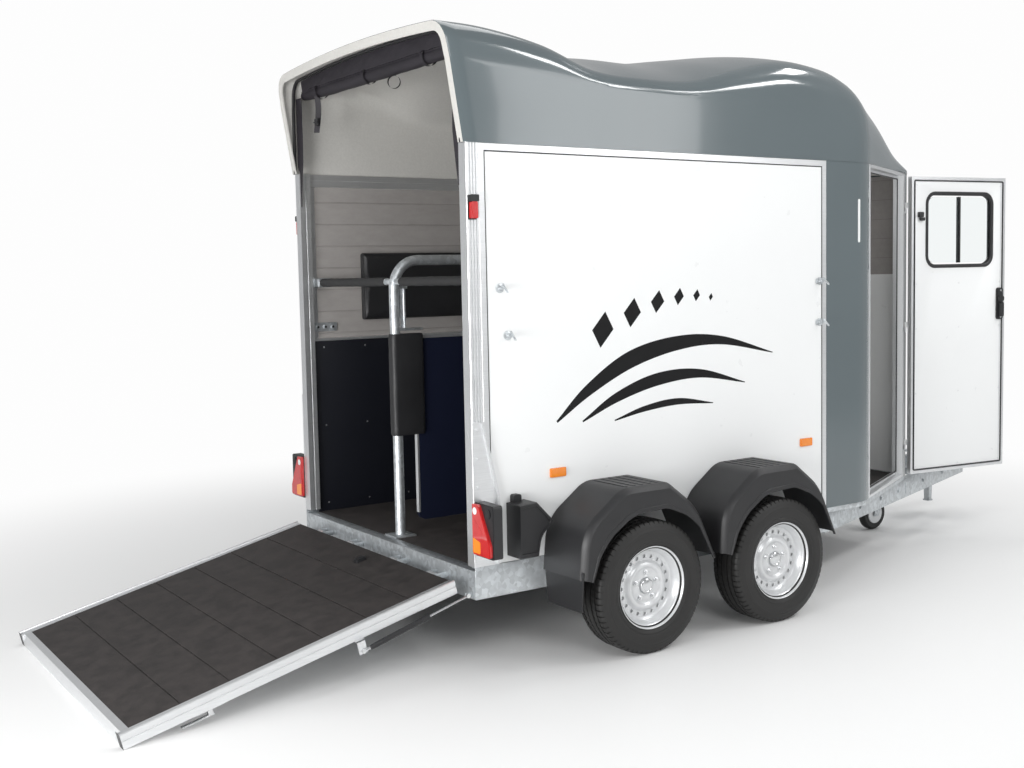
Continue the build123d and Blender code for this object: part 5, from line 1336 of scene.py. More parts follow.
class TRAILER_OT_posts(bpy.types.Operator):
    """Models the ribbed rear posts with their folded braces and bolts"""

    bl_idname = "trailer.posts"
    bl_label = "Rear posts"

    def execute(self, context):
        bm = bmesh.new()
        depth = WALL_REAR - REAR_X
        for side in SIDES.values():
            outer, inner = BODY_HALF, BODY_HALF - 0.056
            section = [(0.0, inner), (0.0, outer - 0.003), (0.002, outer), (0.01, outer)]
            for groove in range(3):
                start = 0.012 + groove * 0.014
                section += [(start, outer), (start + 0.0015, outer - 0.004), (start + 0.007, outer - 0.004),
                            (start + 0.0085, outer)]
            section += [(depth - 0.002, outer), (depth, outer - 0.002), (depth, inner + 0.002),
                        (depth - 0.002, inner), (0.034, inner), (0.032, inner + 0.004),
                        (0.024, inner + 0.004), (0.022, inner)]
            slab(bm, [(REAR_X + x, side * y) for x, y in section], on_z, WALL_LOW, WALL_HIGH)
            plate = [(REAR_X, WALL_LOW + 0.001), (REAR_X, BRACE_TOP), (REAR_X + 0.03, BRACE_TOP),
                     (REAR_X + 0.048, 1.04), (REAR_X + 0.118, 0.74), (REAR_X + 0.12, 0.728),
                     (REAR_X + 0.12, WALL_LOW + 0.001)]
            on_wall(bm, side, plate, 0.0002, 0.0045)
            fold = [(REAR_X + 0.04, 1.05), (REAR_X + 0.05, 1.046), (REAR_X + 0.12, 0.74),
                    (REAR_X + 0.12, 0.45), (REAR_X + 0.108, 0.45), (REAR_X + 0.108, 0.736)]
            on_wall(bm, side, fold, 0.004, 0.0175)
            for x, z in BRACE_BOLTS:
                bolt(bm, (REAR_X + x, side * (outer + 0.0045), z), (0, side, 0), 0.007, 0.005)
        new_piece("rear_posts_ribbed", bm, "frame_alu", ["rear_frame"], smooth=30)
        return {"FINISHED"}


# Frame nodes that keep their shape and only get rounded edges

# columns: node, width of its rounded edges
ROUNDED = [("chassis_frame", 0.0012), ("drawbar", 0.002), ("nose_sill", 0.0008), ("bulkhead", 0.0015),
           ("kick_panels", 0.001), ("partition_frame", 0.001), ("bar_brackets", 0.0008),
           ("ramp_hinges", 0.001), ("overrun_housing", 0.002), ("coupling_head", 0.003),
           ("handbrake_lever", 0.0015), ("jockey_tube", 0.0015), ("jockey_inner", 0.001),
           ("jockey_fork", 0.001), ("door_hinges", 0.0008), ("door_frame", 0.0015), ("floor_board", 0.001),
           ("axle_front", 0.002), ("axle_rear", 0.002)]


class TRAILER_OT_rounded(bpy.types.Operator):
    """Rounds the folded and cut edges of the plain pieces"""

    bl_idname = "trailer.rounded"
    bl_label = "Rounded edges"

    def execute(self, context):
        for node, width in ROUNDED:
            dressed_node(node, SLOTS[node], width)
        return {"FINISHED"}


# Nose: moulded shell round the groom's space, with the doorway in its right face

DOOR_PIN = Vector((1.6488828, -0.4851396, 0.0))
DOOR_ALONG = math.radians(180.0 + 25.304 + 146.0)
CLOSED_ALONG = math.radians(180.0 + 25.304)
DOORWAY_TOP = 2.201
# Height where the pale lower lining of the nose ends
NOSE_LINING = 1.62
DOOR_LOW, DOOR_HIGH = 0.45, 2.178
DOOR_END = 0.742
DOOR_INNER, DOOR_OUTER = -0.04, -0.012
WINDOW = (0.122, 0.636, 1.66, 2.085)


def on_door(u, w, z):
    """A point of the open door: u from the hinge pin, w outwards."""
    return DOOR_PIN + Vector((math.cos(DOOR_ALONG) * u - math.sin(DOOR_ALONG) * w,
                              math.sin(DOOR_ALONG) * u + math.cos(DOOR_ALONG) * w, z))


def in_doorway(u, w, z):
    """A point of the doorway's face: u from the hinge pin rearwards, w outwards."""
    return DOOR_PIN + Vector((math.cos(CLOSED_ALONG) * u - math.sin(CLOSED_ALONG) * w,
                              math.sin(CLOSED_ALONG) * u + math.cos(CLOSED_ALONG) * w, z))


def nose_path():
    """Points of the nose's plan from the right wall round to the left wall, in the frame's metres."""
    turn = NOSE_CORNER - CORNER_ROUND * math.tan(NOSE_FACE / 2)
    places = [WALL_FRONT - MID_X + 0.001]
    places += [turn + CORNER_ROUND * math.sin(NOSE_FACE) * i / 10 for i in range(11)]
    tangent = FRONT_ROUND * math.tan((math.pi / 2 - NOSE_FACE) / 2)
    centre = (NOSE_FRONT - FRONT_ROUND, FRONT_HALF - tangent)
    half = [(place, nose_half(place) - 0.003) for place in places]
    for i in range(13):
        angle = math.pi / 2 - NOSE_FACE - (math.pi / 2 - NOSE_FACE) * i / 12
        half.append((centre[0] + FRONT_ROUND * math.cos(angle),
                     centre[1] - 0.003 + FRONT_ROUND * math.sin(angle)))
    right = [Vector((MID_X + x, -y)) for x, y in half]
    left = [Vector((MID_X + x, y)) for x, y in reversed(half)]
    return right + left


class TRAILER_OT_nose(bpy.types.Operator):
    """Models the moulded nose shell, the doorway's seal and white strips painted as strip-light highlights on
    the nose's corners
    """

    bl_idname = "trailer.nose"
    bl_label = "Nose"

    def shell(self, bm, path, low, high):
        """A wall along a path of the plan, as thick as the moulding."""
        inner = []
        for i, point in enumerate(path):
            along = (path[min(i + 1, len(path) - 1)] - path[max(i - 1, 0)]).normalized()
            inner.append(point + Vector((-along.y, along.x)) * ROOF_SKIN)
        ring = [*path, *reversed(inner)]
        rows = [[bm.verts.new((point.x, point.y, z)) for point in ring] for z in (low, high)]
        join_rows(bm, rows, closed=True)
        for row in rows:
            count = len(path)
            for i in range(count - 1):
                bm.faces.new((row[i], row[i + 1], row[2 * count - 2 - i], row[2 * count - 1 - i]))

    def execute(self, context):
        low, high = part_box("front_shell")[0].z, WALL_HIGH
        path = nose_path()
        edges = [in_doorway(u, 0.0, 0).to_2d() for u in (0.771, -0.022)]
        face = Vector((math.cos(NOSE_FACE), math.sin(NOSE_FACE)))
        first = path[11]
        along = [(point - first).dot(face) for point in edges]
        jambs = [first + face * distance for distance in along]
        rear = [p for p in path if p.y < 0 and (p - first).dot(face) < along[0]
                and p.x < jambs[0].x] + [jambs[0]]
        count = len(rear) - 1
        front = [jambs[1]] + path[count:]
        bm = bmesh.new()
        self.shell(bm, rear, low, high)
        self.shell(bm, jambs, DOORWAY_TOP - 0.004, high)
        self.shell(bm, front, low, high)
        bmesh.ops.recalc_face_normals(bm, faces=bm.faces)
        bmesh.ops.bisect_plane(bm, geom=[*bm.verts, *bm.edges, *bm.faces], plane_co=(0, 0, NOSE_LINING),
                               plane_no=(0, 0, 1))
        for face in bm.faces:
            centre = face.calc_center_median()
            inwards = Vector((MID_X + 1.0 - centre.x, -centre.y, 0))
            if face.normal.dot(inwards) > 0.1 and abs(face.normal.z) < 0.3:
                face.material_index = 1 if centre.z < NOSE_LINING else 2
        new_piece("nose_moulded", bm, "grey_moulding", replaces=["front_shell"], smooth=40,
                  more=["white_panel", "lining"])
        self.doorway()
        # White strips on both rounded front corners: a painted highlight of a strip light on the glossy
        # moulding
        bm = bmesh.new()
        strip = box_outline(1.243, 1.257, 1.792, 2.015, 0.006)
        for side in SIDES.values():
            place = nose_half(1.25) - 0.003
            slab(bm, [(MID_X + x, z) for x, z in strip], on_y, side * (place - 0.001), side * (place + 0.003))
        new_piece("nose_painted_highlights", bm, "white_panel", smooth=30)
        return {"FINISHED"}

    def doorway(self):
        """A rubber seal round the doorway."""
        bm = bmesh.new()
        u0, u1 = 0.012, 0.737
        path = [in_doorway(u0, -0.047, 0.462), in_doorway(u0, -0.047, 2.168), in_doorway(u1, -0.047, 2.168),
                in_doorway(u1, -0.047, 0.462), in_doorway(u0, -0.047, 0.462)]
        sweep(bm, path, [(-0.004, -0.003), (0.004, -0.003), (0.004, 0.003), (0.0, 0.005), (-0.004, 0.003)])
        new_piece("doorway_seal", bm, "black_plastic", smooth=35)


# Groom's door details

# columns: low and high end along the door, low and high end in height
HANDLE = (0.673, 0.723, 1.335, 1.525)
HANDLE_SCREWS = (1.349, 1.509)
SCREW_PLACES = (0.045, 0.375, 0.7)
SCREW_HEIGHTS = (0.49, 0.92, 1.3, 1.56, 2.13)


class TRAILER_OT_door(bpy.types.Operator):
    """Models the groom's door leaf with its edge trim, seal, screws, window, latch and handle"""

    bl_idname = "trailer.door"
    bl_label = "Groom's door"

    def ring(self, bm, u0, u1, z0, z1, radius, w, profile, finish=0):
        """Carries a profile of (inwards, out of the face) round a rounded rectangle on the door."""
        rows = []
        for inset, out in profile:
            outline = box_outline(u0 + inset, u1 - inset, z0 + inset, z1 - inset, max(radius - inset, 0.0), 6)
            rows.append([bm.verts.new(on_door(u, w + out, z)) for u, z in outline])
        join_rows(bm, [*rows, rows[0]], closed=True, finish=finish)

    def on_inner(self, outline, bm, near, far, finish=0):
        """A block standing on the door's inner face."""
        slab(bm, outline, lambda u, v, h: on_door(u, DOOR_INNER - h, v), near, far, finish)

    def execute(self, context):
        body = node_body("groom_door")
        dressed_node("groom_door", "white_panel")
        bm = bmesh.new()
        profile = [(0.0, -0.0008), (0.0, 0.029), (0.014, 0.029), (0.014, 0.0282), (0.0006, 0.0278),
                   (0.0006, 0.0)]
        self.ring(bm, 0.0066, DOOR_END + 0.0004, DOOR_LOW - 0.0004, DOOR_HIGH + 0.0004, 0.0, DOOR_INNER,
                  profile)
        inner = [(0.0, 0.0), (0.0, -0.0012), (0.016, -0.0012), (0.017, 0.0)]
        self.ring(bm, 0.0066, DOOR_END + 0.0004, DOOR_LOW - 0.0004, DOOR_HIGH + 0.0004, 0.0, DOOR_INNER,
                  inner)
        new_piece("door_edge_trim", bm, "frame_alu", smooth=25, body=body)
        bm = bmesh.new()
        seal = [(0.0, 0.0), (0.0, -0.003), (0.002, -0.006), (0.006, -0.006), (0.008, -0.003), (0.008, 0.0)]
        self.ring(bm, 0.024, DOOR_END - 0.018, DOOR_LOW + 0.018, DOOR_HIGH - 0.018, 0.01, DOOR_INNER, seal)
        new_piece("door_seal", bm, "black_plastic", smooth=35, body=body)
        self.window(body)
        self.handle(body)
        bm = bmesh.new()
        line = [(0.704, DOOR_LOW + 0.03), (0.708, DOOR_LOW + 0.03), (0.708, DOOR_HIGH - 0.03),
                (0.704, DOOR_HIGH - 0.03)]
        self.on_inner(line, bm, 0.0, 0.0012)
        for u in SCREW_PLACES:
            for z in SCREW_HEIGHTS:
                if not (WINDOW[0] < u < WINDOW[1] and z > WINDOW[2]):
                    self.on_inner(disc(u, z, 0.0045, 10), bm, 0.0, 0.0012)
        new_piece("door_screws", bm, "frame_alu", smooth=35, body=body)
        return {"FINISHED"}

    def window(self, body):
        """The rounded window frame, its mullion, and the latch with its tab."""
        u0, u1, z0, z1 = WINDOW
        bm = bmesh.new()
        for w, out in ((DOOR_INNER, -1), (DOOR_OUTER, 1)):
            rim = [(-0.009, 0.0), (-0.009, 0.002), (-0.006, 0.0052), (0.002, 0.0058), (0.009, 0.004),
                   (0.012, 0.001), (0.012, -0.01), (0.0, -0.012)]
            self.ring(bm, u0, u1, z0, z1, 0.062, w, [(inset, out * height) for inset, height in rim])
        middle = (u0 + u1) / 2
        outline = [(middle - 0.006, DOOR_INNER + 0.004), (middle - 0.005, DOOR_INNER - 0.001),
                   (middle + 0.005, DOOR_INNER - 0.001), (middle + 0.006, DOOR_INNER + 0.004),
                   (middle + 0.006, DOOR_OUTER - 0.004), (middle - 0.006, DOOR_OUTER - 0.004)]
        slab(bm, outline, on_door, z0 + 0.02, z1 - 0.02)
        latch = box_outline(0.052, 0.086, 1.945, 1.975, 0.005, 3)
        self.on_inner(latch, bm, 0.0, 0.016)
        tab = box_outline(0.062, 0.098, 1.925, 1.944, 0.004, 3)
        self.on_inner(tab, bm, 0.004, 0.012)
        new_piece("window_frame_moulded", bm, "black_plastic", replaces=["door_window_frame"], smooth=32,
                  body=body)

    def handle(self, body):
        """The black inner handle with its two bright screws."""
        bm = bmesh.new()
        for low, high, grow in ((0.0, 0.01, 0.0), (0.01, 0.014, -0.006)):
            u0, u1, z0, z1 = HANDLE
            plate = box_outline(u0 - grow, u1 + grow, z0 - grow, z1 + grow, 0.014, 5)
            self.on_inner(plate, bm, low, high)
        grip = box_outline(0.683, 0.707, 1.352, 1.438, 0.01, 5)
        self.on_inner(grip, bm, 0.014, 0.033)
        pull = box_outline(0.676, 0.716, 1.446, 1.474, 0.01, 5)
        self.on_inner(pull, bm, 0.014, 0.026)
        for z in HANDLE_SCREWS:
            head = disc(0.698, z, 0.0065, 14)
            self.on_inner(head, bm, 0.013, 0.0165, 1)
        new_piece("door_handle_moulded", bm, "black_plastic", replaces=["door_handle"], smooth=32,
                  body=body, more=["bright_zinc"])


# Inside the horse space

KICK_FACE = INSIDE_HALF - 0.006


class TRAILER_OT_inside(bpy.types.Operator):
    """Models the trim strips, rivets, kick board screws, spare brackets, bar sleeves and partition boards"""

    bl_idname = "trailer.inside"
    bl_label = "Horse space"

    def trims(self):
        """Strips under the roof and along the kick boards, with rivets and screws."""
        bm = bmesh.new()
        for side in SIDES.values():
            strip = [(side * (INSIDE_HALF - 0.0002), 2.139), (side * (INSIDE_HALF - 0.003), 2.141),
                     (side * (INSIDE_HALF - 0.003), 2.173), (side * (INSIDE_HALF - 0.0002), 2.175)]
            slab(bm, strip, on_x, WALL_REAR + 0.001, WALL_FRONT - 0.002)
            cap = [(side * (INSIDE_HALF - 0.0002), 1.333), (side * (INSIDE_HALF - 0.009), 1.334),
                   (side * (INSIDE_HALF - 0.009), 1.346), (side * (INSIDE_HALF - 0.0002), 1.348)]
            slab(bm, cap, on_x, WALL_REAR + 0.003, WALL_FRONT - 0.024)
            x = WALL_REAR + 0.06
            while x < WALL_FRONT - 0.03:
                for z, face in ((2.157, INSIDE_HALF - 0.003), (1.3, KICK_FACE), (0.885, KICK_FACE),
                                (0.47, KICK_FACE)):
                    point = (x, side * face, z)
                    slab(bm, circle(0.0046, 8), lambda u, v, h,
                         p=point: Vector((p[0] + u, p[1] - side * h, p[2] + v)), 0.0, 0.0016)
                x += 0.243
        new_piece("inside_trims", bm, "frame_alu", smooth=30)

    def spare_brackets(self):
        """Plates with three holes below the bars' brackets."""
        bm = bmesh.new()
        for side in SIDES.values():
            for x0 in (-1.073, 0.7):
                plate = box_outline(MID_X + x0, MID_X + x0 + 0.135, 1.384, 1.43, 0.006, 3)
                slab(bm, plate, on_y, side * (INSIDE_HALF - 0.0004), side * (INSIDE_HALF - 0.005))
                for k in range(3):
                    x = MID_X + x0 + 0.024 + 0.043 * k
                    slab(bm, disc(x, 1.407, 0.0105, 16), on_y, side * (INSIDE_HALF - 0.005),
                         side * (INSIDE_HALF - 0.011))
                    slab(bm, disc(x, 1.407, 0.0065, 16), on_y, side * (INSIDE_HALF - 0.0108),
                         side * (INSIDE_HALF - 0.0113), 1)
        new_piece("spare_brackets", bm, "galvanised", smooth=30, more=["black_plastic"])

    def bar(self, name, side_name, side):
        """A foam sleeve with a seam along it, over the steel end of the bar."""
        node = f"{name}_bar_{side_name}"
        low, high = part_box(node)
        x, z = (low.x + high.x) / 2, (low.z + high.z) / 2
        inner, outer = (low.y, high.y) if side > 0 else (high.y, low.y)
        bm = bmesh.new()
        length = abs(outer - inner)
        rows = []
        for i in range(61):
            t = i / 60
            y = inner + (outer - inner) * (0.012 + 0.976 * t)
            end = min(t, 1 - t) * length
            swell = 0.0212 - 0.005 * max(0.0, 1 - end / 0.01) ** 2
            row = []
            for j in range(24):
                angle = math.tau * j / 24
                wave = 0.0004 * math.sin(9 * angle + 40 * t) + 0.0003 * math.sin(63 * t + 3 * angle)
                seam = 0.0016 if j == 6 else 0.0
                radius = swell + wave - seam
                row.append(bm.verts.new((x + radius * math.cos(angle), y, z + radius * math.sin(angle))))
            rows.append(row)
        join_rows(bm, rows, closed=True, caps=True)
        sleeve = new_piece(f"{name}_sleeve_{side_name}", bm, "bar_foam", replaces=[node], smooth=40,
                           body=node_body(node))
        bm = bmesh.new()
        for near, far, radius in ((0.0, 0.014, 0.017), (length - 0.012, length, 0.017)):
            slab(bm, disc(x, z, radius, 24), on_y, inner + side * near, inner + side * far)
        new_piece(f"{name}_ends_{side_name}", bm, "galvanised", smooth=40, body=node_body(node))

    def partition(self):
        """The blue-black board with its pale edge trim, and the padded cover behind it."""
        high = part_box("partition_panel")[1]
        post = MID_X - 1.029
        rear = post + 0.099
        bm = bmesh.new()
        board = rounded([(rear, 0.49), (high.x, 0.49), (high.x, 1.373), (rear, 1.373)],
                        [0.04, 0.0, 0.0, 0.04], 6, closed=True)
        slab(bm, board, on_y, -0.011, 0.011)
        new_piece("partition_board", bm, "blue_board", ["partition_panel"], smooth=30)
        bm = bmesh.new()
        top = [(-0.012, 1.368), (0.012, 1.368), (0.012, 1.383), (0.01, 1.385), (-0.01, 1.385),
               (-0.012, 1.383)]
        slab(bm, top, on_x, rear + 0.03, high.x)
        edge = [(rear - 0.0005, -0.0116), (rear + 0.009, -0.0116), (rear + 0.009, 0.0116),
                (rear - 0.0005, 0.0116)]
        slab(bm, edge, on_z, 0.528, 1.345)
        new_piece("partition_trim", bm, "frame_alu", smooth=30)
        bm = bmesh.new()
        half = 0.0303
        outline = rounded([(post - half, -half), (rear + 0.045, -half), (rear + 0.045, half),
                           (post - half, half)], 0.022, 6, closed=True)
        rows = []
        for i in range(41):
            t = i / 40
            z = 0.91 + (1.393 - 0.91) * t
            end = min(t, 1 - t)
            grow = -0.0035 * max(0.0, 1 - end / 0.03) ** 2
            row = []
            for k, (x, y) in enumerate(outline):
                wave = 0.0006 * math.sin(31 * t + 0.9 * k) * math.sin(17 * t)
                centre = (post + rear) / 2 + 0.022
                away = Vector((x - centre, y * 2.4)).normalized()
                row.append(bm.verts.new((x + away.x * (grow - 0.0006 + wave),
                                         y + away.y * (grow - 0.0006 + wave), z)))
            rows.append(row)
        join_rows(bm, rows, closed=True, caps=True)
        cover = new_piece("partition_cover", bm, "black_cover", smooth=35)

    def execute(self, context):
        self.trims()
        self.spare_brackets()
        for name in ("rump", "breast"):
            for side_name, side in SIDES.items():
                self.bar(name, side_name, side)
        self.partition()
        return {"FINISHED"}


# Wall pads, stuffed by a short cloth simulation

PAD_VOXEL = 0.007
PAD_MOVE = 0.006


def baked(piece):
    """The piece's mesh with its modifiers applied."""
    return bpy.data.meshes.new_from_object(piece.evaluated_get(bpy.context.evaluated_depsgraph_get()))


class TRAILER_OT_pads(bpy.types.Operator):
    """Stuffs the two wall pads: a box of cloth blown up a little and held flat at its back, with piping round
    its face
    """

    bl_idname = "trailer.pads"
    bl_label = "Wall pads"

    def stuffed(self, low, high, side):
        """A remeshed box, blown up by cloth pressure, with its movement capped."""
        mesh = bpy.data.meshes.new("pad_cloth")
        bm = bmesh.new()
        gap = Vector((0.005, 0.006, 0.005))
        a, b = low + gap, high - gap
        block(bm, a.x, b.x, a.y, b.y, a.z, b.z)
        bmesh.ops.recalc_face_normals(bm, faces=bm.faces)
        round_edges(bm, 0.01, 3)
        bm.to_mesh(mesh)
        bm.free()
        piece = linked("pad_cloth", mesh)
        remesh = piece.modifiers.new("remesh", "REMESH")
        remesh.mode = "VOXEL"
        remesh.voxel_size = PAD_VOXEL
        made = baked(piece)
        piece.modifiers.clear()
        piece.data = made
        rest = [v.co.copy() for v in made.vertices]
        back = high.y if side > 0 else low.y
        held = piece.vertex_groups.new(name="held")
        held.add([v.index for v in made.vertices if abs(v.co.y - back) < 0.016], 1.0, "REPLACE")
        cloth = piece.modifiers.new("cloth", "CLOTH")
        cloth.settings.vertex_group_mass = "held"
        cloth.settings.use_pressure = True
        cloth.settings.uniform_pressure_force = 4.0
        cloth.settings.effector_weights.gravity = 0.0
        cloth.settings.tension_stiffness = 12.0
        cloth.settings.compression_stiffness = 12.0
        cloth.settings.bending_stiffness = 0.4
        cloth.settings.shrink_min = -0.012
        scene = bpy.context.scene
        for number in range(1, 21):
            scene.frame_set(number)
        blown = baked(piece)
        piece.modifiers.clear()
        piece.data = blown
        for vertex, start in zip(blown.vertices, rest):
            move = vertex.co - start
            if move.length > PAD_MOVE:
                vertex.co = start + move.normalized() * PAD_MOVE
        scene.frame_set(1)
        sub = piece.modifiers.new("smooth", "SUBSURF")
        sub.levels = sub.render_levels = 1
        final = baked(piece)
        bpy.data.objects.remove(piece)
        for vertex in final.vertices:
            for axis in range(3):
                vertex.co[axis] = min(max(vertex.co[axis], low[axis] + 0.0004), high[axis] - 0.0004)
        return final

    def execute(self, context):
        for side_name, side in SIDES.items():
            node = f"wall_pad_{side_name}"
            low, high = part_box(node)
            final = self.stuffed(low, high, side)
            bm = bmesh.new()
            bm.from_mesh(final)
            pad = new_piece(f"wall_pad_stuffed_{side_name}", bm, "black_cover", replaces=[node], smooth=60,
                            outward=False)
            face = low.y if side > 0 else high.y
            bm = bmesh.new()
            path = box_outline(low.x + 0.011, high.x - 0.011, low.z + 0.011, high.z - 0.011, 0.012, 5)
            points = [Vector((x, face + side * 0.0085, z)) for x, z in path]
            sweep(bm, [*points, points[0]], circle(0.0022, 8), caps=False)
            new_piece(f"wall_pad_piping_{side_name}", bm, "black_cover", smooth=50)
        return {"FINISHED"}


# Rear curtain, rolled up under the hood

CURTAIN_PLACE = -1.1335
ROLL_PLACE, ROLL_HEIGHT, ROLL_RADIUS, ROLL_REACH = -1.1, 2.6, 0.0368, 0.77
ROLL_TURNS, ROLL_STEPS = 4, 28
BAND_HALF = 0.735
STRIP_TOP, STRIP_FOOT = 2.585, 2.032
STRAPS = (-0.5, 0.05, 0.57)


class TRAILER_OT_curtain(bpy.types.Operator):
    """Hangs the rear curtain's band, side strips, roll, welt and straps"""

    bl_idname = "trailer.curtain"
    bl_label = "Rear curtain"

    def cloth(self, name, grid, held, replaces=(), hangs="roof_skin"):
        """One sheet of cloth from rows of points."""
        bm = bmesh.new()
        rows = [[bm.verts.new(point) for point in row] for row in grid]
        join_rows(bm, rows)
        bmesh.ops.recalc_face_normals(bm, faces=bm.faces)
        area = sum(face.calc_area() for face in bm.faces)
        piece = new_piece(name, bm, "curtain_cloth", list(replaces), smooth=60)
        return piece

    def arch_height(self, y):
        """Height of the arch's inner edge over a place across the trailer."""
        row = roof_row(CURTAIN_PLACE, 0.032)
        for (y0, z0), (y1, z1) in zip(row, row[1:]):
            if y0 <= y <= y1 and y1 - y0 > 1e-6:
                return z0 + (z1 - z0) * (y - y0) / (y1 - y0)
        return WALL_HIGH

    def execute(self, context):
        x0 = MID_X + CURTAIN_PLACE
        grid = []
        for i in range(11):
            t = i / 10
            row = []
            for j in range(97):
                y = BAND_HALF * (2 * j / 96 - 1)
                top = self.arch_height(y)
                wave = 0.0016 * math.sin(21 * y + 2.0 * t) + 0.0009 * math.sin(57 * y - 5 * t)
                wave *= math.sin(math.pi * t)
                row.append(Vector((x0 + wave + 0.01 * t * t, y, top + (ROLL_HEIGHT + 0.004 - top) * t)))
            grid.append(row)
        self.cloth("curtain_band", grid, "hung", ["rear_curtain"])
        for side_name, side in SIDES.items():
            grid = []
            for i in range(41):
                t = i / 40
                z = STRIP_TOP + (STRIP_FOOT - STRIP_TOP) * t
                outer = 0.806 if z > 2.208 else 0.782
                outer = min(outer, 0.782 + max(0.0, (z - 2.206) / 0.03) * 0.024)
                inner = 0.735 if z > 2.263 else 0.735 + (2.263 - z) / 0.233 * 0.036
                row = []
                for j in range(9):
                    s = j / 8
                    wave = 0.002 * math.sin(5.2 * s + 6.0 * t) * math.sin(math.pi * min(s + 0.15, 1.0))
                    row.append(Vector((x0 + wave, side * (inner + (outer - inner) * s), z)))
                grid.append(row)
            self.cloth(f"curtain_strip_{side_name}", grid, "hung")
        grid = []
        for i in range(81):
            y = -ROLL_REACH + 2 * ROLL_REACH * i / 80
            taper = 1.0 - 0.3 * abs(y / ROLL_REACH) ** 8
            row = []
            for j in range(ROLL_TURNS * ROLL_STEPS + 1):
                angle = math.tau * j / ROLL_STEPS + 2.6
                radius = (0.012 + (ROLL_RADIUS - 0.0135) * j / (ROLL_TURNS * ROLL_STEPS)) * taper
                radius += 0.0008 * math.sin(23 * y + 2 * angle) + 0.0005 * math.sin(61 * y + 5 * angle)
                sag = -0.003 * (1 - (y / ROLL_REACH) ** 2)
                row.append(Vector((MID_X + ROLL_PLACE + radius * math.cos(angle), y,
                                   ROLL_HEIGHT + sag + radius * math.sin(angle))))
            grid.append(row)
        self.cloth("curtain_roll", grid, "gathered")
        self.welt()
        self.straps()
        return {"FINISHED"}

    def welt(self):
        """The black welt that holds the curtain along the arch."""
        bm = bmesh.new()
        path = [Vector((MID_X - 1.144, y, z)) for y, z in roof_row(-1.144, 0.027)]
        sweep(bm, path, box_outline(-0.008, 0.008, -0.006, 0.006, 0.004, 3), side=(1, 0, 0))
        new_piece("curtain_welt", bm, "black_plastic", smooth=40)

    def straps(self):
        """Webbing round the roll, one strap hanging down with its buckle, and a loop."""
        centre = Vector((MID_X + ROLL_PLACE, 0.0, ROLL_HEIGHT - 0.002))
        for number, y in enumerate(STRAPS):
            grid = []
            for i in range(33):
                angle = math.tau * i / 32 * 0.94
                radius = ROLL_RADIUS + 0.0016
                grid.append([centre + Vector((radius * math.cos(angle), y + 0.0125 * e,
                                              radius * math.sin(angle))) for e in (-1, 1)])
            self.cloth(f"curtain_strap_{number}", grid, "gathered", hangs="curtain_roll")
        grid = []
        for i in range(21):
            t = i / 20
            grid.append([Vector((MID_X + ROLL_PLACE - 0.022 + 0.006 * math.sin(4 * t) + 0.011 * e,
                                 0.572 + 0.01 * t - 0.01 * e, 2.573 - 0.182 * t)) for e in (-1, 1)])
        self.cloth("curtain_strap_end", grid, "hung", hangs="curtain_roll")
        grid = []
        for i in range(25):
            angle = math.tau * i / 24
            grid.append([Vector((MID_X + ROLL_PLACE + 0.007 * e + 0.021 * math.sin(angle),
                                 -0.188 + 0.008 * e - 0.019 * math.sin(angle),
                                 2.536 + 0.029 * math.cos(angle))) for e in (-1, 1)])
        self.cloth("curtain_loop", grid, "hung", hangs="curtain_roll")
        bm = bmesh.new()
        outline = box_outline(0.56, 0.598, 2.425, 2.462, 0.006, 4)
        slab(bm, outline, on_x, MID_X + ROLL_PLACE - 0.03, MID_X + ROLL_PLACE - 0.02)
        bar = box_outline(0.556, 0.602, 2.44, 2.447, 0.003, 3)
        slab(bm, bar, on_x, MID_X + ROLL_PLACE - 0.034, MID_X + ROLL_PLACE - 0.029)
        new_piece("curtain_buckle", bm, "black_plastic", smooth=35)


# Front: drawbar fittings, coupling and jockey wheel details

DRAWBAR_TIP_HALF = 0.104
DRAWBAR_BOLTS = [1.463, 1.752, 2.017, 2.42, 2.76]
JOCKEY_RADIUS = 0.104
JOCKEY_DISC = 0.0632


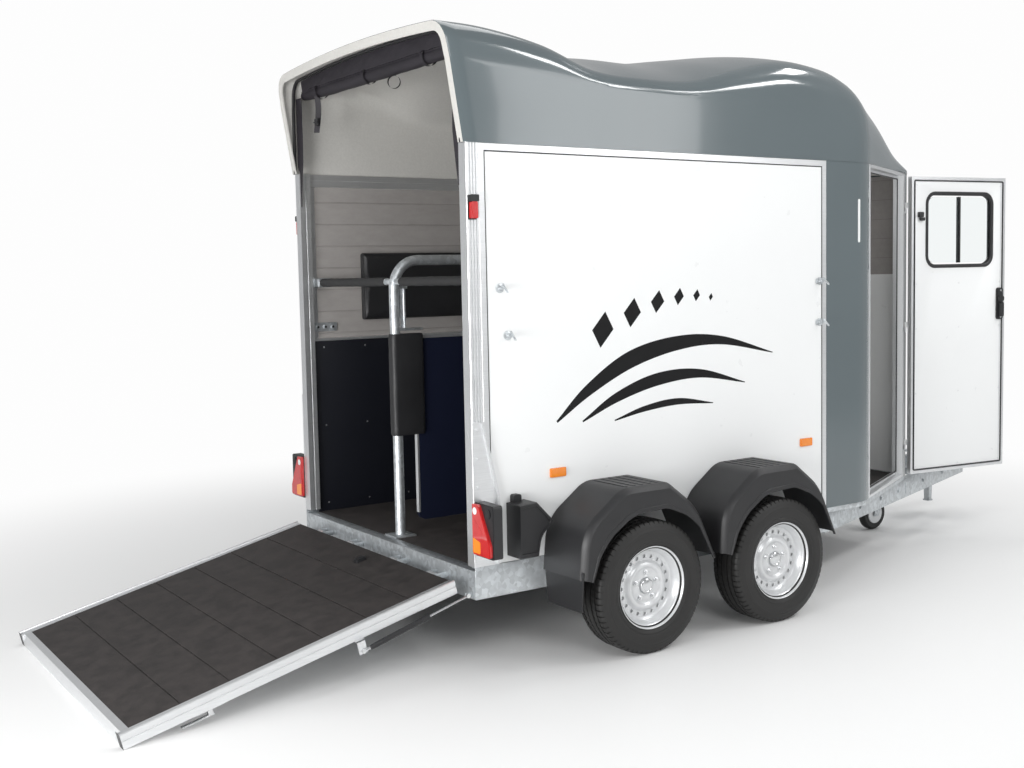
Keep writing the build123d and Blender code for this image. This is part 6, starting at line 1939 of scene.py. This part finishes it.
class TRAILER_OT_drawgear(bpy.types.Operator):
    """Models the drawbar's fittings, the coupling's bellows and lever and the jockey wheel with its crank"""

    bl_idname = "trailer.drawgear"
    bl_label = "Drawgear"

    def execute(self, context):
        start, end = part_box("drawbar")
        run = end.x - start.x
        half_start, half_end = -start.y, DRAWBAR_TIP_HALF

        def edge(x):
            return half_start - (x - start.x) / run * (half_start - half_end)

        bm = bmesh.new()
        out = Vector((half_start - half_end, run, 0)).normalized()
        for side in SIDES.values():
            normal = Vector((out.x, side * out.y, 0))
            for x in DRAWBAR_BOLTS:
                point = Vector((MID_X + x, side * edge(MID_X + x), 0.352))
                bolt(bm, point, normal, 0.01, 0.007)
            slab(bm, box_outline(MID_X + 2.13, MID_X + 2.2, 0.318, 0.388),
                 lambda u, v, h: Vector((u, side * edge(u), v)) + normal * h, -0.001, 0.0025)
        foot = [(-0.022, 0.3), (0.022, 0.3), (0.012, 0.125), (-0.012, 0.125)]
        slab(bm, [(MID_X + 2.935 + u, z) for u, z in foot], on_y, -0.02, 0.02)
        slab(bm, box_outline(MID_X + 2.912, MID_X + 2.958, -0.026, 0.026, 0.008, 3), on_z, 0.117, 0.125)
        new_piece("drawbar_fittings", bm, "galvanised", smooth=30)
        low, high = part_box("coupling_head")
        joint, z = low.x, 0.43
        bm = bmesh.new()
        profile = []
        for i in range(15):
            t = i / 14
            profile.append((0.04 - 0.004 * t - (0.006 if i % 2 else 0.0), joint + 0.004 + 0.114 * t))
        profile = [(0.0262, profile[0][1]), *profile, (0.0262, profile[-1][1])]
        lathe(bm, profile, lambda u, v, h: Vector((h, u, z + v)), 32)
        new_piece("coupling_bellows", bm, "black_plastic", smooth=30)
        bm = bmesh.new()
        nose = high.x
        path = rounded([(nose - 0.15, 0.0, z + 0.036), (nose - 0.12, 0.0, z + 0.052),
                        (nose - 0.03, 0.0, z + 0.054), (nose - 0.006, 0.0, z + 0.036)], 0.016, 5)
        sweep(bm, path, box_outline(-0.016, 0.016, -0.004, 0.004, 0.003, 3), side=(0, 1, 0))
        for y in (-0.0385, 0.0385):
            slab(bm, disc(nose - 0.1, z + 0.004, 0.012, 20), on_y, y, y * 1.1)
        new_piece("coupling_lever", bm, "bright_zinc", smooth=35)
        low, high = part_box("jockey_tube")
        top = high.z
        post = (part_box("jockey_inner")[0].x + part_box("jockey_inner")[1].x) / 2
        bm = bmesh.new()
        crank = rounded([(post, 0.0, top - 0.001), (post, 0.0, top + 0.026), (post - 0.09, 0.0, top + 0.032),
                         (post - 0.09, 0.0, top + 0.1)], 0.01, 4)
        tube(bm, crank, 0.0055, 12)
        lathe(bm, [(0.0125, top + 0.04), (0.014, top + 0.06), (0.014, top + 0.092), (0.011, top + 0.104)],
              lambda u, v, h: Vector((post - 0.09 + u, v, h)), 20, finish=1)
        new_piece("jockey_crank", bm, "galvanised", smooth=40, more=["black_plastic"])
        low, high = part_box("jockey_wheel")
        centre = (low + high) / 2
        bm = bmesh.new()
        half = (high.y - low.y) / 2
        r = JOCKEY_RADIUS
        rows = [(0.02, -half), (0.062, -half + 0.001), (0.064, -half + 0.008), (0.076, -half + 0.004),
                (0.092, -half + 0.004), (r - 0.0035, -half + 0.012), (r - 0.0005, -half + 0.022),
                (r - 0.0005, half - 0.022), (r - 0.0035, half - 0.012), (0.092, half - 0.004),
                (0.076, half - 0.004), (0.064, half - 0.008), (0.062, half - 0.001), (0.02, half)]
        made = turned(bm, rows, lambda u, v, h: centre + Vector((u, h, v)), 64)
        for face in join_rows(bm, [*made, made[0]], closed=True):
            reach = face.calc_center_median() - centre
            if math.hypot(reach.x, reach.z) < JOCKEY_DISC:
                face.material_index = 1
        new_piece("jockey_wheel_tyred", bm, "tyre_rubber", replaces=["jockey_wheel"], smooth=35,
                  body=node_body("jockey_wheel"), more=["wheel_silver"])
        return {"FINISHED"}


# Camera, in the frame's own metres
CAMERA_PLACE = (MID_X - 3.7821, -5.0748, 1.6574)
CAMERA_YAW = 0.9784
CAMERA_PITCH = -0.0793
CAMERA_ROLL = -0.0206
CAMERA_SHIFT_Y = -0.0116


class TRAILER_OT_stage(bpy.types.Operator):
    """Adds the floor, the soft studio light and the camera"""

    bl_idname = "trailer.stage"
    bl_label = "Stage"

    def execute(self, context):
        self.make_camera(context)
        self.make_floor()
        self.make_world(context)
        self.make_lamps()
        context.scene.view_settings.view_transform = "Standard"
        return {"FINISHED"}

    def make_camera(self, context):
        """A camera at the photograph's place and angle."""
        data = bpy.data.cameras.new("camera")
        data.lens = context.scene.trailer_sizes.camera_lens
        data.shift_y = CAMERA_SHIFT_Y
        camera = linked("camera", data)
        look = Vector((math.cos(CAMERA_YAW) * math.cos(CAMERA_PITCH),
                       math.sin(CAMERA_YAW) * math.cos(CAMERA_PITCH), math.sin(CAMERA_PITCH)))
        right = look.cross(Vector((0, 0, 1))).normalized()
        up = right.cross(look)
        turned_right = right * math.cos(CAMERA_ROLL) + up * math.sin(CAMERA_ROLL)
        turned_up = up * math.cos(CAMERA_ROLL) - right * math.sin(CAMERA_ROLL)
        turn = Matrix((turned_right, turned_up, -look)).transposed().to_4x4()
        camera.matrix_world = Matrix.Translation(CAMERA_PLACE) @ turn
        context.scene.camera = camera

    def make_floor(self):
        """A pale floor that fades into the white surround away from the trailer."""
        bm = bmesh.new()
        bmesh.ops.create_grid(bm, x_segments=1, y_segments=1, size=400)
        mesh = bpy.data.meshes.new("floor")
        bm.to_mesh(mesh)
        bm.free()
        floor = linked("floor", mesh)
        f = Finish("studio_floor")
        mesh.materials.append(f.surface(base_color=(0.95, 0.95, 0.945), roughness=0.5,
                                        specular_ior_level=0.25))
        away = f.add("ShaderNodeVectorMath", {"operation": "LENGTH"}, {0: f.place((1, 1, 1))}, 1)
        fade = f.add("ShaderNodeMapRange", {"interpolation_type": "SMOOTHSTEP"},
                     {"Value": away, "From Min": 2.0, "From Max": 5.6})
        seen = f.add("ShaderNodeLightPath", output=0)
        white = f.add("ShaderNodeEmission", None, {"Color": (0.985, 0.985, 0.985), "Strength": 1.0})
        blend = f.add("ShaderNodeMixShader", None, {0: fade * seen})
        f.tree.links.new(f.shader.outputs[0], blend.socket.node.inputs[1])
        f.tree.links.new(white.socket, blend.socket.node.inputs[2])
        f.tree.links.new(blend.socket, f.tree.nodes["Material Output"].inputs["Surface"])

    def make_world(self, context):
        """A pale surround that the camera sees as plain white."""
        world = bpy.data.worlds.new("studio")
        world.use_nodes = True
        context.scene.world = world
        tree = world.node_tree
        background = tree.nodes["Background"]
        background.inputs["Color"].default_value = (0.93, 0.94, 0.95, 1)
        background.inputs["Strength"].default_value = 0.46
        seen = tree.nodes.new("ShaderNodeBackground")
        seen.inputs["Color"].default_value = (0.985, 0.985, 0.985, 1)
        seen.inputs["Strength"].default_value = 1.0
        path = tree.nodes.new("ShaderNodeLightPath")
        mix = tree.nodes.new("ShaderNodeMixShader")
        either = tree.nodes.new("ShaderNodeMath")
        either.operation = "MAXIMUM"
        tree.links.new(path.outputs["Is Camera Ray"], either.inputs[0])
        tree.links.new(path.outputs["Is Transmission Ray"], either.inputs[1])
        tree.links.new(either.outputs[0], mix.inputs[0])
        tree.links.new(background.outputs[0], mix.inputs[1])
        tree.links.new(seen.outputs[0], mix.inputs[2])
        tree.links.new(mix.outputs[0], tree.nodes["World Output"].inputs["Surface"])

    def make_lamps(self):
        """Large soft lamps round the trailer and strips for crisp lights on the roof."""
        # columns: name, place, width, height, power in watts
        lamps = [
            ("lamp_key", (-3.4, -7.0, 5.2), 3.0, 3.0, 120.0),
            ("lamp_side", (4.0, -7.0, 3.6), 2.2, 3.2, 80.0),
            ("lamp_rear", (-6.4, -2.4, 1.3), 2.6, 1.6, 240.0),
            ("lamp_top", (0.5, 1.0, 7.5), 4.0, 4.0, 100.0),
            ("lamp_window_low", (4.0, -3.9, 5.4), 1.1, 0.8, 45.0),
            ("lamp_window_mid", (2.4, -4.3, 5.2), 0.9, 0.8, 40.0),
            ("lamp_window_high", (4.4, -1.2, 6.6), 1.8, 0.8, 50.0),
        ]
        for name, place, width, height, power in lamps:
            data = bpy.data.lights.new(name, "AREA")
            data.shape = "RECTANGLE"
            data.size = width
            data.size_y = height
            data.energy = power
            lamp = linked(name, data)
            aim = Vector((0, 0.6 if name == "lamp_rear" else 0, 1.6)) - Vector(place)
            lamp.matrix_world = Matrix.Translation(place) @ aim.to_track_quat("-Z", "Y").to_matrix().to_4x4()


OPERATORS = (TRAILER_OT_stage, TRAILER_OT_skins, TRAILER_OT_roof, TRAILER_OT_mudguards, TRAILER_OT_ramp,
             TRAILER_OT_lamps, TRAILER_OT_chock, TRAILER_OT_wheels, TRAILER_OT_walls, TRAILER_OT_fittings,
             TRAILER_OT_posts, TRAILER_OT_rounded, TRAILER_OT_nose, TRAILER_OT_door, TRAILER_OT_inside,
             TRAILER_OT_pads, TRAILER_OT_curtain, TRAILER_OT_drawgear)


class TRAILER_PT_panel(bpy.types.Panel):
    """Lists the trailer's pieces in the sidebar"""

    bl_label = "Horse trailer"
    bl_idname = "TRAILER_PT_panel"
    bl_space_type = "VIEW_3D"
    bl_region_type = "UI"
    bl_category = "Trailer"

    def draw(self, context):
        for group in (context.scene.trailer_sizes, context.scene.trailer_colours):
            for name in group.__annotations__:
                self.layout.prop(group, name)
        for operator in OPERATORS:
            self.layout.operator(operator.bl_idname)


CLASSES = (TrailerColours, TrailerSizes, *OPERATORS, TRAILER_PT_panel)


def register():
    """Registers the classes and their settings."""
    for cls in CLASSES:
        bpy.utils.register_class(cls)
    bpy.types.Scene.trailer_colours = PointerProperty(type=TrailerColours)
    bpy.types.Scene.trailer_sizes = PointerProperty(type=TrailerSizes)


def unregister():
    """Removes what register added."""
    del bpy.types.Scene.trailer_sizes
    del bpy.types.Scene.trailer_colours
    for cls in reversed(CLASSES):
        bpy.utils.unregister_class(cls)


def main():
    """Makes the whole scene."""
    register()
    for operator in OPERATORS:
        group, name = operator.bl_idname.split(".")
        getattr(getattr(bpy.ops, group), name)()


if __name__ == "__main__":
    main()
